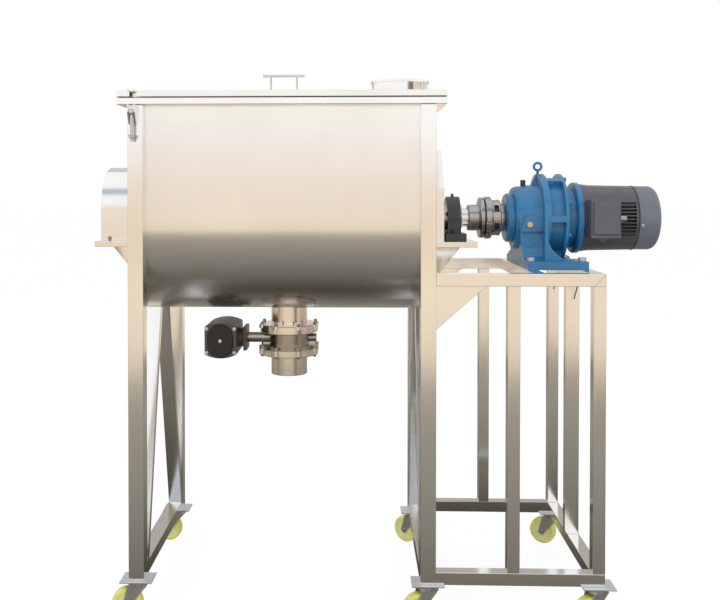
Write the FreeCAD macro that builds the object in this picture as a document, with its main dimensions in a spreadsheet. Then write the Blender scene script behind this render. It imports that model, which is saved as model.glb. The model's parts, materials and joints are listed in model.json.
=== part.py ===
# Ribbon blender: a jacketless U-trough mixer on wheeled legs, driven by a foot-mounted
# cycloidal reducer and flange motor through a pin coupling.
# Millimetres. +X runs along the shaft towards the motor, -Y is the operator's side,
# +Z is up. The origin lies on the floor under the middle of the machine's box.
import FreeCAD
import Part
import Sketcher
import math
import os
from FreeCAD import Placement, Rotation, Vector

SIZES = {
    # trough
    "shaft_height": 1295.0,
    "trough_radius": 320.0,
    "trough_wall": 3.0,
    "overcut": 1.0,
    "trough_length": 990.0,
    "end_plate": 8.0,
    "rim_top": 393.0,
    "rim_height": 22.0,
    "rim_projection": 33.0,
    "rim_wall": 3.0,
    "weld_gap": 0.2,
    # lid
    "gasket": 3.0,
    "gasket_width": 20.0,
    "lid_fold": 20.0,
    "lid_sheet": 2.5,
    "collar_radius": 100.0,
    "collar_height": 67.0,
    "collar_wall": 3.0,
    "collar_inset": 100.0,
    "handle_spacing": 86.0,
    "handle_rise": 65.0,
    "handle_rod": 6.5,
    "handle_bar": 138.0,
    "handle_bar_height": 10.0,
    "handle_inset": 125.0,
    # rear hinges and the front clamp
    "hinge_inset": 125.0,
    "hinge_barrel": 8.0,
    "hinge_pin": 4.0,
    "hinge_length": 90.0,
    "hinge_offset": 18.0,
    "hinge_leaf": 4.0,
    "clamp_inset": 20.0,
    "clamp_bolt": 10.0,
    "clamp_eye": 9.0,
    "clamp_offset": 13.0,
    "clamp_drop": 50.0,
    "clamp_lug_height": 64.0,
    "clamp_lug_plate": 5.0,
    "clamp_lug_gap": 15.0,
    "clamp_nut": 12.0,
    "clamp_nut_height": 12.0,
    "clamp_fork_depth": 26.0,
    "clamp_play": 1.0,
    # legs and end frames
    "caster_height": 130.0,
    "leg_width": 50.0,
    "leg_wall": 3.0,
    "leg_lap": 25.0,
    "base_rail_height": 40.0,
    "brace_thickness": 25.0,
    "brace_top": 75.0,
    # drive frame
    "rail": 40.0,
    "rail_wall": 3.0,
    "mid_post_at": 246.0,
    "side_post": 50.0,
    "side_post_depth": 25.0,
    "gusset_length": 163.0,
    "gusset_height": 142.0,
    "gusset_plate": 5.0,
    "small_gusset": 80.0,
    # bearing shelves and covers
    "shelf_length": 150.0,
    "shelf_half_width": 200.0,
    "shelf_plate": 6.0,
    "shelf_lip": 18.0,
    "shelf_gusset_length": 110.0,
    "shelf_gusset_height": 135.0,
    "shelf_gusset_at": 150.0,
    "guard_length": 145.0,
    "guard_radius": 140.0,
    "guard_apex": 178.0,
    "guard_sheet": 2.0,
    "seal_cover_depth": 45.0,
    "seal_cover_eave": 103.0,
    "seal_cover_ridge": 30.0,
    "seal_cover_apex": 238.0,
    "cover_hole_gap": 6.0,
    # shaft and bearings
    "shaft_radius": 32.5,
    "running_clearance": 0.05,
    "bearing_offset": 87.0,
    "bearing_base_height": 76.2,
    "bearing_base_length": 265.0,
    "bearing_base_width": 70.0,
    "bearing_base_thickness": 25.0,
    "bearing_flare": 8.0,
    "bearing_bolt_spacing": 203.0,
    "bearing_bolt": 8.0,
    "bearing_bolt_head": 13.0,
    "nipple": 5.0,
    "bearing_ring": 60.0,
    "bearing_housing_radius": 75.0,
    "bearing_housing_width": 45.0,
    "insert_width": 60.0,
    "insert_lip": 12.0,
    "insert_slope": 2.0,
    "shaft_stub": 10.0,
    "seal_radius": 70.0,
    "seal_depth": 32.0,
    # agitator
    "ribbon_clearance": 5.0,
    "outer_ribbon_depth": 36.0,
    "inner_ribbon_radius": 190.0,
    "inner_ribbon_depth": 36.0,
    "ribbon_thickness": 8.0,
    "ribbon_pitch": 900.0,
    "ribbon_end_gap": 25.0,
    "arm_radius": 10.0,
    # coupling
    "coupling_gap": 18.0,
    "hub_radius": 46.0,
    "hub_length": 36.0,
    "disc_radius": 75.0,
    "disc_thickness": 25.0,
    "disc_gap": 3.0,
    "drive_hub_radius": 64.0,
    "drive_hub_length": 37.0,
    "coupling_chamfer": 4.0,
    "coupling_recess": 8.0,
    "coupling_pins": 6.0,
    "coupling_pin_circle": 55.0,
    "coupling_pin_radius": 8.0,
    # reducer
    "reducer_centre": 168.5,
    "reducer_gap": 5.0,
    "output_radius": 27.5,
    "output_seal": 86.0,
    "output_seal_length": 26.0,
    "nose_length": 9.0,
    "nose_radius": 104.0,
    "housing_length": 89.0,
    "housing_flange": 12.0,
    "housing_radius": 120.0,
    "housing_small_radius": 110.0,
    "ring_length": 70.0,
    "ring_radius": 155.5,
    "ring_flange": 10.0,
    "ring_core": 135.0,
    "ring_ribs": 6.0,
    "ring_rib_width": 22.0,
    "rib_root": 6.0,
    "neck_length": 38.0,
    "neck_flange": 8.0,
    "cast_edge": 6.0,
    "neck_radius": 105.0,
    "input_flange": 22.0,
    "input_flange_radius": 125.0,
    "foot_start": 46.0,
    "foot_length": 200.0,
    "foot_half_width": 208.0,
    "foot_thickness": 28.0,
    "foot_bolt_inset": 14.0,
    "foot_bolt_at": 175.0,
    "foot_bolt": 9.0,
    "foot_bolt_head": 12.0,
    "drive_overhang": 33.0,
    "pedestal_half_width": 114.0,
    "pedestal_shoulder": 44.0,
    "pedestal_fillet": 40.0,
    "web_length": 80.0,
    "web_drop": 77.0,
    "web_curve": 90.0,
    "web_thickness": 16.0,
    "eye_rib": 16.0,
    "eye_rib_length": 21.0,
    "sight_boss_reach": 126.0,
    "sight_boss_top": 8.0,
    "sight_boss_slope": 20.0,
    "fitting_at": 31.0,
    "fitting_rise": 14.0,
    "breather_radius": 9.0,
    "gauge_radius": 10.0,
    "gauge_drop": 20.0,
    "plug_radius": 13.0,
    "plug_rise": 2.0,
    "plug_drop": 85.0,
    "eye_radius": 13.0,
    "eye_wire": 4.5,
    "flange_bolts": 8.0,
    "flange_bolt": 8.0,
    "flange_bolt_head": 10.0,
    "flange_bolt_inset": 10.0,
    # motor
    "end_bell": 37.0,
    "motor_length": 150.0,
    "motor_radius": 115.5,
    "motor_wall": 14.0,
    "motor_taper": 3.0,
    "bell_rim": 10.0,
    "fin_base": 94.0,
    "fin_half_height": 60.0,
    "fin_pitch": 12.0,
    "fin_plate": 4.0,
    "fin_end": 8.0,
    "fan_cover_length": 82.0,
    "fan_cover_radius": 112.0,
    "fan_cover_sheet": 2.0,
    "fan_cover_round": 25.0,
    "slot_first": 24.0,
    "slot_pitch": 14.0,
    "slot_width": 6.0,
    "slot_bridge": 6.0,
    "terminal_start": 10.0,
    "terminal_length": 100.0,
    "terminal_half_height": 65.0,
    "terminal_reach": 165.0,
    "terminal_root": 25.0,
    "terminal_lid": 10.0,
    "terminal_lid_inset": 7.0,
    "gland_radius": 11.0,
    "gland_length": 24.0,
    "motor_lug_length": 42.0,
    "motor_lug_drop": 17.0,
    "motor_lug_plate": 8.0,
    "fan_radius": 92.0,
    "fan_disc": 4.0,
    "fan_hub": 14.0,
    "fan_width": 34.0,
    "fan_gap": 12.0,
    "fan_blades": 6.0,
    "fan_blade": 4.0,
    "motor_shaft_depth": 60.0,
    "motor_shaft_radius": 14.0,
    # discharge valve and its actuator
    "outlet_radius": 64.0,
    "outlet_wall": 3.0,
    "outlet_drop": 378.0,
    "valve_flange": 24.0,
    "valve_flange_radius": 93.5,
    "valve_ears": 8.0,
    "valve_ear_radius": 11.0,
    "valve_ear_lap": 4.0,
    "valve_bolt": 6.0,
    "valve_bolt_head": 8.0,
    "valve_body_radius": 71.0,
    "valve_body_height": 62.0,
    "spout_flange": 20.0,
    "spout_length": 74.0,
    "valve_disc": 6.0,
    "valve_disc_clearance": 0.8,
    "stem_radius": 9.0,
    "stem_housing": 18.0,
    "stem_rise": 3.0,
    "stem_boss": 14.0,
    "stem_boss_reach": 98.0,
    "stem_overlap": 8.0,
    "actuator_gap": 78.0,
    "actuator_pad": 30.0,
    "actuator_pad_half": 42.0,
    "actuator_pad_plate": 12.0,
    "actuator_neck": 34.0,
    "actuator_width": 112.0,
    "actuator_half_length": 100.0,
    "actuator_half_height": 48.0,
    "actuator_crown": 62.0,
    "actuator_cap": 22.0,
    "actuator_boss": 8.0,
    "actuator_boss_half_width": 44.0,
    "actuator_boss_half_height": 57.0,
    # casters
    "caster_plate_length": 105.0,
    "caster_plate_width": 80.0,
    "caster_plate": 4.0,
    "caster_head": 30.0,
    "caster_head_height": 16.0,
    "fork_gap": 19.0,
    "fork_sheet": 3.0,
    "caster_trail": 34.0,
    "wheel_radius": 50.0,
    "wheel_half_width": 16.0,
    "axle_radius": 5.0,
    "axle_head": 4.0,
    "tyre_depth": 12.0,
    "tyre_shoulder": 6.0,
    "wheel_dish": 3.0,
    "wheel_hub": 16.0,
    "wheel_hub_rise": 2.0,
    "joint_gap": 0.3,
}

doc = FreeCAD.newDocument("RibbonBlender")
sheet = doc.addObject("Spreadsheet::Sheet", "Sizes")
for row, (alias, number) in enumerate(SIZES.items(), start=1):
    sheet.set(f"A{row}", alias)
    sheet.set(f"B{row}", str(number))
    sheet.setAlias(f"B{row}", alias)
doc.recompute()


class Size:
    """A size that carries its value and the sheet expression that gives it."""

    def __init__(self, value, text):
        self.value = float(value)
        self.text = text

    def __add__(self, other):
        other = lift(other)
        return Size(self.value + other.value, f"({self.text} + {other.text})")

    def __radd__(self, other):
        return lift(other) + self

    def __sub__(self, other):
        other = lift(other)
        return Size(self.value - other.value, f"({self.text} - {other.text})")

    def __rsub__(self, other):
        return lift(other) - self

    def __mul__(self, other):
        other = lift(other)
        return Size(self.value * other.value, f"({self.text} * {other.text})")

    def __rmul__(self, other):
        return lift(other) * self

    def __truediv__(self, other):
        other = lift(other)
        return Size(self.value / other.value, f"({self.text} / {other.text})")

    def __neg__(self):
        return Size(-self.value, f"(0 - {self.text})")


def lift(number):
    """A plain number as a Size."""
    return number if isinstance(number, Size) else Size(number, f"({float(number)})")


def root(size):
    return Size(math.sqrt(size.value), f"sqrt({size.text})")


def chord(radius, offset):
    """Half the chord of a circle at an offset from its centre."""
    return root(radius * radius - offset * offset)


def turn_of(rise, run):
    """The angle in degrees whose tangent is rise over run."""
    return Size(math.degrees(math.atan2(rise.value, run.value)), f"atan2({rise.text}; {run.text})")


class Sheet:
    """Every size of the sheet by its alias."""


size = Sheet()
for alias, number in SIZES.items():
    setattr(size, alias, Size(number, f"Sizes.{alias}"))

# ---------------------------------------------------------------- builders
X_AXIS, Y_AXIS, Z_AXIS = Vector(1, 0, 0), Vector(0, 1, 0), Vector(0, 0, 1)
UPRIGHT = {
    "X": Rotation(Vector(0, 1, 0), 90),
    "Y": Rotation(Vector(1, 0, 0), -90),
    "Z": Rotation(),
}
PLANES = {"X": "YZ_Plane", "Y": "XZ_Plane", "Z": "XY_Plane"}
parts = {}
machine_bolts = []


def add(kind, **sizes):
    """A new object whose properties are bound to the given sizes."""
    made = doc.addObject(kind, kind.split("::")[1])
    for name, value in sizes.items():
        made.setExpression(name, lift(value).text)
    return made


def place(made, x=0, y=0, z=0, rotation=None):
    """Put an object at a bound position, with a fixed rotation."""
    if rotation is not None:
        made.Placement = Placement(Vector(), rotation)
    for letter, value in zip("xyz", (x, y, z)):
        made.setExpression(f"Placement.Base.{letter}", lift(value).text)
    return made


def tilt(made, axis, angle):
    """Turn an object about one axis by a bound angle."""
    made.Placement = Placement(made.Placement.Base, Rotation(axis, angle.value or 1.0))
    made.setExpression("Placement.Rotation.Angle", angle.text)
    return made


def box(x0, x1, y0, y1, z0, z1):
    """A block between two corners."""
    made = add("Part::Box", Length=lift(x1) - x0, Width=lift(y1) - y0, Height=lift(z1) - z0)
    return place(made, x0, y0, z0)


def rod(axis, x, y, z, radius, length):
    """A cylinder that runs from a point along an axis."""
    made = add("Part::Cylinder", Radius=radius, Height=length)
    return place(made, x, y, z, UPRIGHT[axis])


def taper(axis, x, y, z, radius_a, radius_b, length):
    """A cone that runs from a point along an axis."""
    made = add("Part::Cone", Radius1=radius_a, Radius2=radius_b, Height=length)
    return place(made, x, y, z, UPRIGHT[axis])


def fuse(*pieces):
    made = doc.addObject("Part::MultiFuse", "Fusion")
    made.Shapes = list(pieces)
    made.Refine = True
    return made


def cut(base, *tools):
    made = doc.addObject("Part::Cut", "Cut")
    made.Base = base
    made.Tool = tools[0] if len(tools) == 1 else fuse(*tools)
    made.Refine = True
    return made


def common(first, second):
    made = doc.addObject("Part::Common", "Common")
    made.Base = first
    made.Tool = second
    return made


def group(*pieces):
    made = doc.addObject("Part::Compound", "Group")
    made.Links = list(pieces)
    return made


def keep(label, *pieces):
    """Name a finished sub-part; several pieces stay separate solids of one group."""
    made = pieces[0] if len(pieces) == 1 else group(*pieces)
    made.Label = label
    parts[label] = made
    return made


def tube(x0, x1, y0, y1, z0, z1, wall, along):
    """A square tube along one axis, open at both ends."""
    inner = [x0, x1, y0, y1, z0, z1]
    for index, letter in enumerate("XYZ"):
        if letter != along:
            inner[2 * index] = lift(inner[2 * index]) + wall
            inner[2 * index + 1] = lift(inner[2 * index + 1]) - wall
    return cut(box(x0, x1, y0, y1, z0, z1), box(*inner))


def bound(sketch, kind, value, *where):
    """A constraint of a sketch, bound to a size."""
    value = lift(value)
    index = sketch.addConstraint(Sketcher.Constraint(kind, *where, value.value))
    sketch.setExpression(f"Constraints[{index}]", value.text)


def draw(sketch, path):
    """Close an outline through points (u, v); a third value is the radius of the arc that
    leads to the point, positive when it turns anticlockwise. Arcs are under half a turn."""
    first = len(sketch.Geometry)
    ends = []
    for index, step in enumerate(path):
        before = path[index - 1]
        a = Vector(lift(before[0]).value, lift(before[1]).value, 0)
        b = Vector(lift(step[0]).value, lift(step[1]).value, 0)
        if len(step) == 2:
            sketch.addGeometry(Part.LineSegment(a, b))
            ends.append((1, 2))
            continue
        radius = lift(step[2]).value
        half = (b - a) * 0.5
        side = Vector(-half.y, half.x, 0).normalize() * math.copysign(1, radius)
        centre = a + half + side * math.sqrt(max(radius * radius - half.Length ** 2, 0))
        start = math.atan2(a.y - centre.y, a.x - centre.x)
        stop = math.atan2(b.y - centre.y, b.x - centre.x)
        if radius < 0:
            start, stop = stop, start
        circle = Part.Circle(centre, Z_AXIS, abs(radius))
        sketch.addGeometry(Part.ArcOfCircle(circle, start, stop))
        ends.append((1, 2) if radius > 0 else (2, 1))
    count = len(path)
    for index, step in enumerate(path):
        here, after = first + index, first + (index + 1) % count
        stop = ends[index][1]
        sketch.addConstraint(
            Sketcher.Constraint("Coincident", here, stop, after, ends[(index + 1) % count][0])
        )
        bound(sketch, "DistanceX", step[0], -1, 1, here, stop)
        bound(sketch, "DistanceY", step[1], -1, 1, here, stop)
        if len(step) == 3:
            radius = lift(step[2])
            bound(sketch, "Radius", radius if radius.value > 0 else -radius, here)


def draw_circle(sketch, u, v, radius):
    here = len(sketch.Geometry)
    centre = Vector(lift(u).value, lift(v).value, 0)
    sketch.addGeometry(Part.Circle(centre, Z_AXIS, lift(radius).value))
    bound(sketch, "DistanceX", u, -1, 1, here, 3)
    bound(sketch, "DistanceY", v, -1, 1, here, 3)
    bound(sketch, "Radius", radius, here)


def sketched(axis):
    """A body with an empty sketch on the origin plane that faces an axis."""
    body = doc.addObject("PartDesign::Body", "Body")
    sketch = body.newObject("Sketcher::SketchObject", "Outline")
    plane = [one for one in body.Origin.OriginFeatures if one.Role == PLANES[axis]][0]
    sketch.AttachmentSupport = (plane, [""])
    sketch.MapMode = "FlatFace"
    return body, sketch


def plate(axis, start, thickness, path, holes=()):
    """A flat piece of the given outline, padded along an axis. Outlines that face X are in
    (y, z), those that face Y in (x, z) and those that face Z in (x, y)."""
    body, sketch = sketched(axis)
    draw(sketch, path)
    for hole in holes:
        draw_circle(sketch, *hole)
    pad = body.newObject("PartDesign::Pad", "Pad")
    pad.Profile = sketch
    pad.Reversed = axis == "Y"
    pad.setExpression("Length", lift(thickness).text)
    body.setExpression(f"Placement.Base.{axis.lower()}", lift(start).text)
    return body


def origin_axis(body, role):
    return [one for one in body.Origin.OriginFeatures if one.Role == role][0]


def turned(x, z, path):
    """A round piece about the line along X at height z: path holds (x, radius) points."""
    body, sketch = sketched("Y")
    draw(sketch, path)
    spin = body.newObject("PartDesign::Revolution", "Turning")
    spin.Profile = sketch
    spin.ReferenceAxis = (origin_axis(body, "X_Axis"), [""])
    spin.Angle = 360.0
    return place(body, x, 0, z)


def ring_of(count, circle, first_angle=0.0):
    """Offsets (y, z) of a ring of places about the shaft axis."""
    places = []
    for index in range(int(lift(count).value)):
        angle = math.radians(first_angle + 360.0 * index / lift(count).value)
        places.append((lift(circle) * math.cos(angle), lift(circle) * math.sin(angle)))
    return places


# ---------------------------------------------------------------- main places
s = size
half_trough = s.trough_length / 2
shelf_reach = half_trough + s.shelf_length
bearing_x = half_trough + s.bearing_offset
driven_x = bearing_x + s.bearing_base_width / 2 + s.coupling_gap
disc_x = driven_x + s.hub_length
drive_disc_x = disc_x + s.disc_thickness + s.disc_gap
drive_hub_x = drive_disc_x + s.disc_thickness
output_x = drive_hub_x + s.drive_hub_length + s.reducer_gap
nose_x = output_x + s.output_seal_length
housing_x = nose_x + s.nose_length
ring_x = housing_x + s.housing_length
neck_x = ring_x + s.ring_length
input_x = neck_x + s.neck_length
bell_x = input_x + s.input_flange
motor_x = bell_x + s.end_bell
cover_x = motor_x + s.motor_length
drive_reach = cover_x + s.fan_cover_length
trough_x = (shelf_reach - drive_reach) / 2

shaft_z = s.shaft_height
rim_z = shaft_z + s.rim_top
rim_foot = rim_z - s.rim_height
lid_z = rim_z + s.gasket
lid_top = lid_z + s.lid_fold
rim_half_x = half_trough + s.rim_projection
rim_half_y = s.trough_radius + s.rim_projection
leg_outer = s.trough_radius + s.leg_lap
leg_inner = leg_outer - s.leg_width
leg_foot = s.caster_height
shelf_top = shaft_z - s.bearing_base_height
drive_top = shaft_z - s.reducer_centre
drive_under = drive_top - s.rail
foot_x = output_x + s.foot_start
foot_bolts_x = (foot_x + s.foot_bolt_inset, foot_x + s.foot_length - s.foot_bolt_inset)
drive_end = foot_bolts_x[1] + s.drive_overhang
collar_x = half_trough - s.collar_inset
clamp_x = half_trough - s.clamp_inset
ribbon_length = s.trough_length - 2 * (s.end_plate + s.ribbon_end_gap)
over = s.overcut
SIDES = (-1, 1)


def at(x):
    """A place along the shaft, measured from the middle of the trough."""
    return trough_x + x


def span(side, near, far):
    """The two ends of a stretch on the left (-1) or the right (+1), low end first."""
    return (lift(near), lift(far)) if side > 0 else (-lift(far), -lift(near))


# ---------------------------------------------------------------- trough
def u_outline(radius, top):
    """The U section about the shaft: half a circle below and straight walls above."""
    return [
        (radius, top),
        (-radius, top),
        (-radius, shaft_z),
        (0, shaft_z - radius, radius),
        (radius, shaft_z, radius),
    ]


def trough():
    inner = s.trough_radius - s.trough_wall
    shell_length = s.trough_length - 2 * s.end_plate
    start = at(-half_trough + s.end_plate)
    shell = cut(
        plate("X", start, shell_length, u_outline(s.trough_radius, rim_z)),
        plate("X", start - over, shell_length + 2 * over, u_outline(inner, rim_z + over)),
    )
    outlet_hole = rod("Z", at(0), 0, shaft_z - s.trough_radius - s.leg_width,
                      s.outlet_radius - s.outlet_wall, 2 * s.leg_width)
    keep("trough_shell", cut(shell, outlet_hole))
    shaft_hole = (0, shaft_z, s.shaft_radius + 4 * s.joint_gap)
    ends = [
        plate("X", at(left), s.end_plate, u_outline(s.trough_radius, rim_z), [shaft_hole])
        for left in (-half_trough, half_trough - s.end_plate)
    ]
    keep("end_plates", *ends)


def frame_ring(half_x, half_y, bore_x, bore_y, low, high):
    """A rectangular ring about the trough."""
    return cut(
        box(at(-half_x), at(half_x), -half_y, half_y, low, high),
        box(at(-bore_x), at(bore_x), -bore_y, bore_y, low - over, high + over),
    )


def rim():
    outer = frame_ring(rim_half_x, rim_half_y, half_trough, s.trough_radius, rim_foot, rim_z)
    core = frame_ring(
        rim_half_x - s.rim_wall,
        rim_half_y - s.rim_wall,
        half_trough + s.rim_wall,
        s.trough_radius + s.rim_wall,
        rim_foot + s.rim_wall,
        rim_z - s.rim_wall,
    )
    keep("trough_rim", cut(outer, core))
    keep("lid_gasket", frame_ring(
        half_trough + s.gasket_width / 2,
        s.trough_radius + s.gasket_width / 2,
        half_trough - s.gasket_width / 2,
        s.trough_radius - s.gasket_width / 2,
        rim_z,
        lid_z,
    ))


# ---------------------------------------------------------------- lid
def lid():
    outer = box(at(-rim_half_x), at(rim_half_x), -rim_half_y, rim_half_y, lid_z, lid_top)
    inner_x, inner_y = rim_half_x - s.lid_sheet, rim_half_y - s.lid_sheet
    under = box(at(-inner_x), at(inner_x), -inner_y, inner_y, lid_z - over, lid_top - s.lid_sheet)
    bore = s.collar_radius - s.collar_wall
    hole = rod("Z", at(collar_x), 0, lid_z, bore, s.lid_fold + over)
    notch = box(at(-clamp_x) - s.clamp_bolt, at(-clamp_x) + s.clamp_bolt,
                -rim_half_y - over, -inner_y + over, lid_z - over, lid_top - s.clamp_lug_plate)
    rest_x, rest_y = half_trough + s.gasket_width / 2, s.trough_radius + s.gasket_width / 2
    bore_x, bore_y = half_trough - s.gasket_width / 2, s.trough_radius - s.gasket_width / 2
    seat = frame_ring(rest_x, rest_y, bore_x, bore_y, lid_z + s.joint_gap, lid_top - s.lid_sheet)
    keep("lid_panel", fuse(cut(outer, under, hole, notch), seat))
    collar = cut(
        rod("Z", at(collar_x), 0, lid_top, s.collar_radius, s.collar_height),
        rod("Z", at(collar_x), 0, lid_top - over, bore, s.collar_height + 2 * over),
    )
    lip_low = lid_top + s.collar_height - 3 * s.collar_wall
    lip = cut(
        rod("Z", at(collar_x), 0, lip_low, s.collar_radius + s.collar_wall, 3 * s.collar_wall),
        rod("Z", at(collar_x), 0, lip_low - over, bore, 3 * s.collar_wall + 2 * over),
    )
    keep("feed_collar", fuse(collar, lip))
    handle_y = -rim_half_y + s.handle_inset
    bar_z = lid_top + s.handle_rise - s.handle_bar_height
    posts = [
        rod("Z", at(side * s.handle_spacing / 2), handle_y, lid_top, s.handle_rod / 2,
            s.handle_rise - s.handle_bar_height / 2)
        for side in SIDES
    ]
    bar = rod("X", at(-s.handle_bar / 2), handle_y, bar_z + s.handle_bar_height / 2,
              s.handle_bar_height / 2, s.handle_bar)
    keep("lid_handle", fuse(bar, *posts))


def lid_fittings():
    """Barrel hinges on the rear edge, and the forked tab that the clamp bolt enters."""
    pivot_y, pivot_z = rim_half_y + s.hinge_offset, lid_z - s.gasket / 2
    fixed, moving = [], []
    third = s.hinge_length / 3
    for side in SIDES:
        middle = at(side * (half_trough - s.hinge_inset))
        start = middle - s.hinge_length / 2
        pin = rod("X", start, pivot_y, pivot_z, s.hinge_pin, s.hinge_length)
        fixed_leaf = box(start, start + s.hinge_length, rim_half_y, rim_half_y + s.hinge_leaf,
                         rim_foot, rim_z - s.hinge_leaf)
        knuckles = [fixed_leaf]
        for index in (0, 2):
            low = start + third * index
            knuckles.append(rod("X", low, pivot_y, pivot_z, s.hinge_barrel, third))
            knuckles.append(box(low, low + third, rim_half_y, pivot_y,
                                rim_z - 2 * s.hinge_barrel, rim_z - s.hinge_leaf))
        pin_bore = rod("X", start - over, pivot_y, pivot_z, s.hinge_pin + s.running_clearance,
                       s.hinge_length + 2 * over)
        fixed.append(cut(fuse(*knuckles), pin_bore))
        fixed.append(pin)
        low, high = start + third + s.joint_gap, start + 2 * third - s.joint_gap
        barrel = rod("X", low, pivot_y, pivot_z, s.hinge_barrel, high - low)
        arm = box(low, high, rim_half_y, pivot_y, lid_z + s.hinge_leaf,
                  lid_z + s.hinge_leaf + s.hinge_barrel)
        leaf = box(low, high, rim_half_y, rim_half_y + s.hinge_leaf, lid_z + s.hinge_leaf, lid_top)
        bore = rod("X", low - over, pivot_y, pivot_z, s.hinge_pin + s.running_clearance,
                   third + 2 * over)
        moving.append(cut(fuse(barrel, arm, leaf), bore))
    keep("hinge_brackets", *fixed)
    for side in SIDES:
        near = s.clamp_bolt / 2 + s.clamp_play
        low, high = span(side, near, near + s.clamp_lug_plate)
        moving.append(box(at(-clamp_x) + low, at(-clamp_x) + high,
                          -rim_half_y - s.clamp_fork_depth, -rim_half_y,
                          lid_top - s.clamp_lug_plate, lid_top))
    keep("lid_fittings", *moving)


def clamp():
    """The lug on the left front leg, and the swing bolt that hangs from it."""
    pivot_y, pivot_z = -rim_half_y - s.clamp_offset, rim_foot - s.clamp_drop / 2
    middle = at(-clamp_x)
    reach = -leg_outer - pivot_y
    lug_low = rim_foot - s.clamp_lug_height
    ears = []
    half_gap = s.clamp_lug_gap / 2
    for side in SIDES:
        low, high = span(side, half_gap, half_gap + s.clamp_lug_plate)
        outline = [
            (-leg_outer, rim_foot - s.joint_gap),
            (-leg_outer, lug_low),
            (-leg_outer - reach / 2, lug_low),
            (pivot_y - s.clamp_eye, pivot_z),
            (pivot_y - s.clamp_eye, rim_foot - s.joint_gap),
        ]
        hole = [(pivot_y, pivot_z, s.clamp_bolt / 2 + s.running_clearance)]
        ears.append(plate("X", middle + low, high - low, outline, hole))
    pin = rod("X", middle - half_gap - s.clamp_lug_plate, pivot_y, pivot_z, s.clamp_bolt / 2,
              2 * half_gap + 2 * s.clamp_lug_plate)
    keep("clamp_lug", *ears, pin)
    eye_half = half_gap - s.joint_gap
    eye = rod("X", middle - eye_half, pivot_y, pivot_z, s.clamp_eye, 2 * eye_half)
    bore = rod("X", middle - eye_half - over, pivot_y, pivot_z,
               s.clamp_bolt / 2 + s.running_clearance, 2 * (eye_half + over))
    throw = lid_top - pivot_z
    shank_length = throw + 3 * s.clamp_nut_height
    shank = rod("Z", middle, pivot_y, pivot_z - shank_length, s.clamp_bolt / 2, shank_length)
    nut = rod("Z", middle, pivot_y, pivot_z - throw - 2 * s.clamp_nut_height,
              s.clamp_nut, s.clamp_nut_height)
    wings = box(middle - 2 * s.clamp_nut, middle + 2 * s.clamp_nut,
                pivot_y - s.clamp_lug_plate / 2, pivot_y + s.clamp_lug_plate / 2,
                pivot_z - throw - 2.5 * s.clamp_nut_height, pivot_z - throw - 1.5 * s.clamp_nut_height)
    keep("swing_bolt", cut(fuse(eye, shank, nut, wings), bore))


# ---------------------------------------------------------------- legs and frames
def leg_lap_tool(start, length):
    """The room that the trough takes out of the legs and braces."""
    radius = s.trough_radius + s.weld_gap
    return plate("X", start, length, u_outline(radius, rim_z))


def legs():
    made = []
    for end in SIDES:
        low, high = span(end, half_trough - s.leg_width, half_trough)
        for side in SIDES:
            near, far = span(side, leg_inner, leg_outer)
            tube_leg = tube(at(low), at(high), near, far, leg_foot, rim_foot, s.leg_wall, "Z")
            made.append(cut(tube_leg, leg_lap_tool(at(low) - over, s.leg_width + 2 * over)))
    keep("trough_legs", *made)


def end_frames():
    """A base rail between the feet at each end, and two braces up to the trough."""
    made = []
    rail_top = leg_foot + s.base_rail_height
    for end in SIDES:
        low, high = span(end, half_trough - s.leg_width, half_trough)
        made.append(tube(at(low), at(high), -leg_inner, leg_inner, leg_foot, rail_top,
                         s.leg_wall, "Y"))
        for side in SIDES:
            top_z = shaft_z - chord(s.trough_radius + s.weld_gap, s.brace_top)
            run = leg_inner - s.brace_top
            rise = top_z - rail_top
            slope = root(run * run + rise * rise)
            across = s.brace_thickness * slope / rise
            outline = [
                (side * leg_inner, rail_top),
                (side * (leg_inner - across), rail_top),
                (side * (s.brace_top - across), top_z + s.brace_thickness),
                (side * s.brace_top, top_z + s.brace_thickness),
            ]
            solid = plate("X", at(low), s.leg_width, outline)
            made.append(cut(solid, leg_lap_tool(at(low) - over, s.leg_width + 2 * over)))
    keep("end_frames", *made)


def drive_frame():
    posts = []
    rail_low = leg_foot + s.rail
    for side in SIDES:
        near, far = span(side, leg_outer - s.rail, leg_outer)
        posts.append(tube(at(drive_end - s.rail), at(drive_end), near, far, rail_low, drive_under,
                          s.rail_wall, "Z"))
        middle = half_trough + s.mid_post_at
        posts.append(tube(at(middle - s.rail / 2), at(middle + s.rail / 2), near, far, rail_low,
                          drive_under, s.rail_wall, "Z"))
    posts.append(tube(at(drive_end - s.side_post), at(drive_end), -s.side_post_depth / 2,
                      s.side_post_depth / 2, rail_low, drive_under, s.rail_wall, "Z"))
    keep("drive_posts", *posts)
    rails = []
    inner_y = leg_outer - s.rail
    for low, high in ((leg_foot, rail_low), (drive_under, drive_top)):
        for side in SIDES:
            near, far = span(side, inner_y, leg_outer)
            rails.append(tube(at(half_trough), at(drive_end), near, far, low, high,
                              s.rail_wall, "X"))
        rails.append(tube(at(drive_end - s.rail), at(drive_end), -inner_y, inner_y, low, high,
                          s.rail_wall, "Y"))
    cross = foot_bolts_x[0]
    rails.append(tube(at(cross - s.rail / 2), at(cross + s.rail / 2), -inner_y, inner_y,
                      drive_under, drive_top, s.rail_wall, "Y"))
    keep("drive_rails", *rails)


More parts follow.
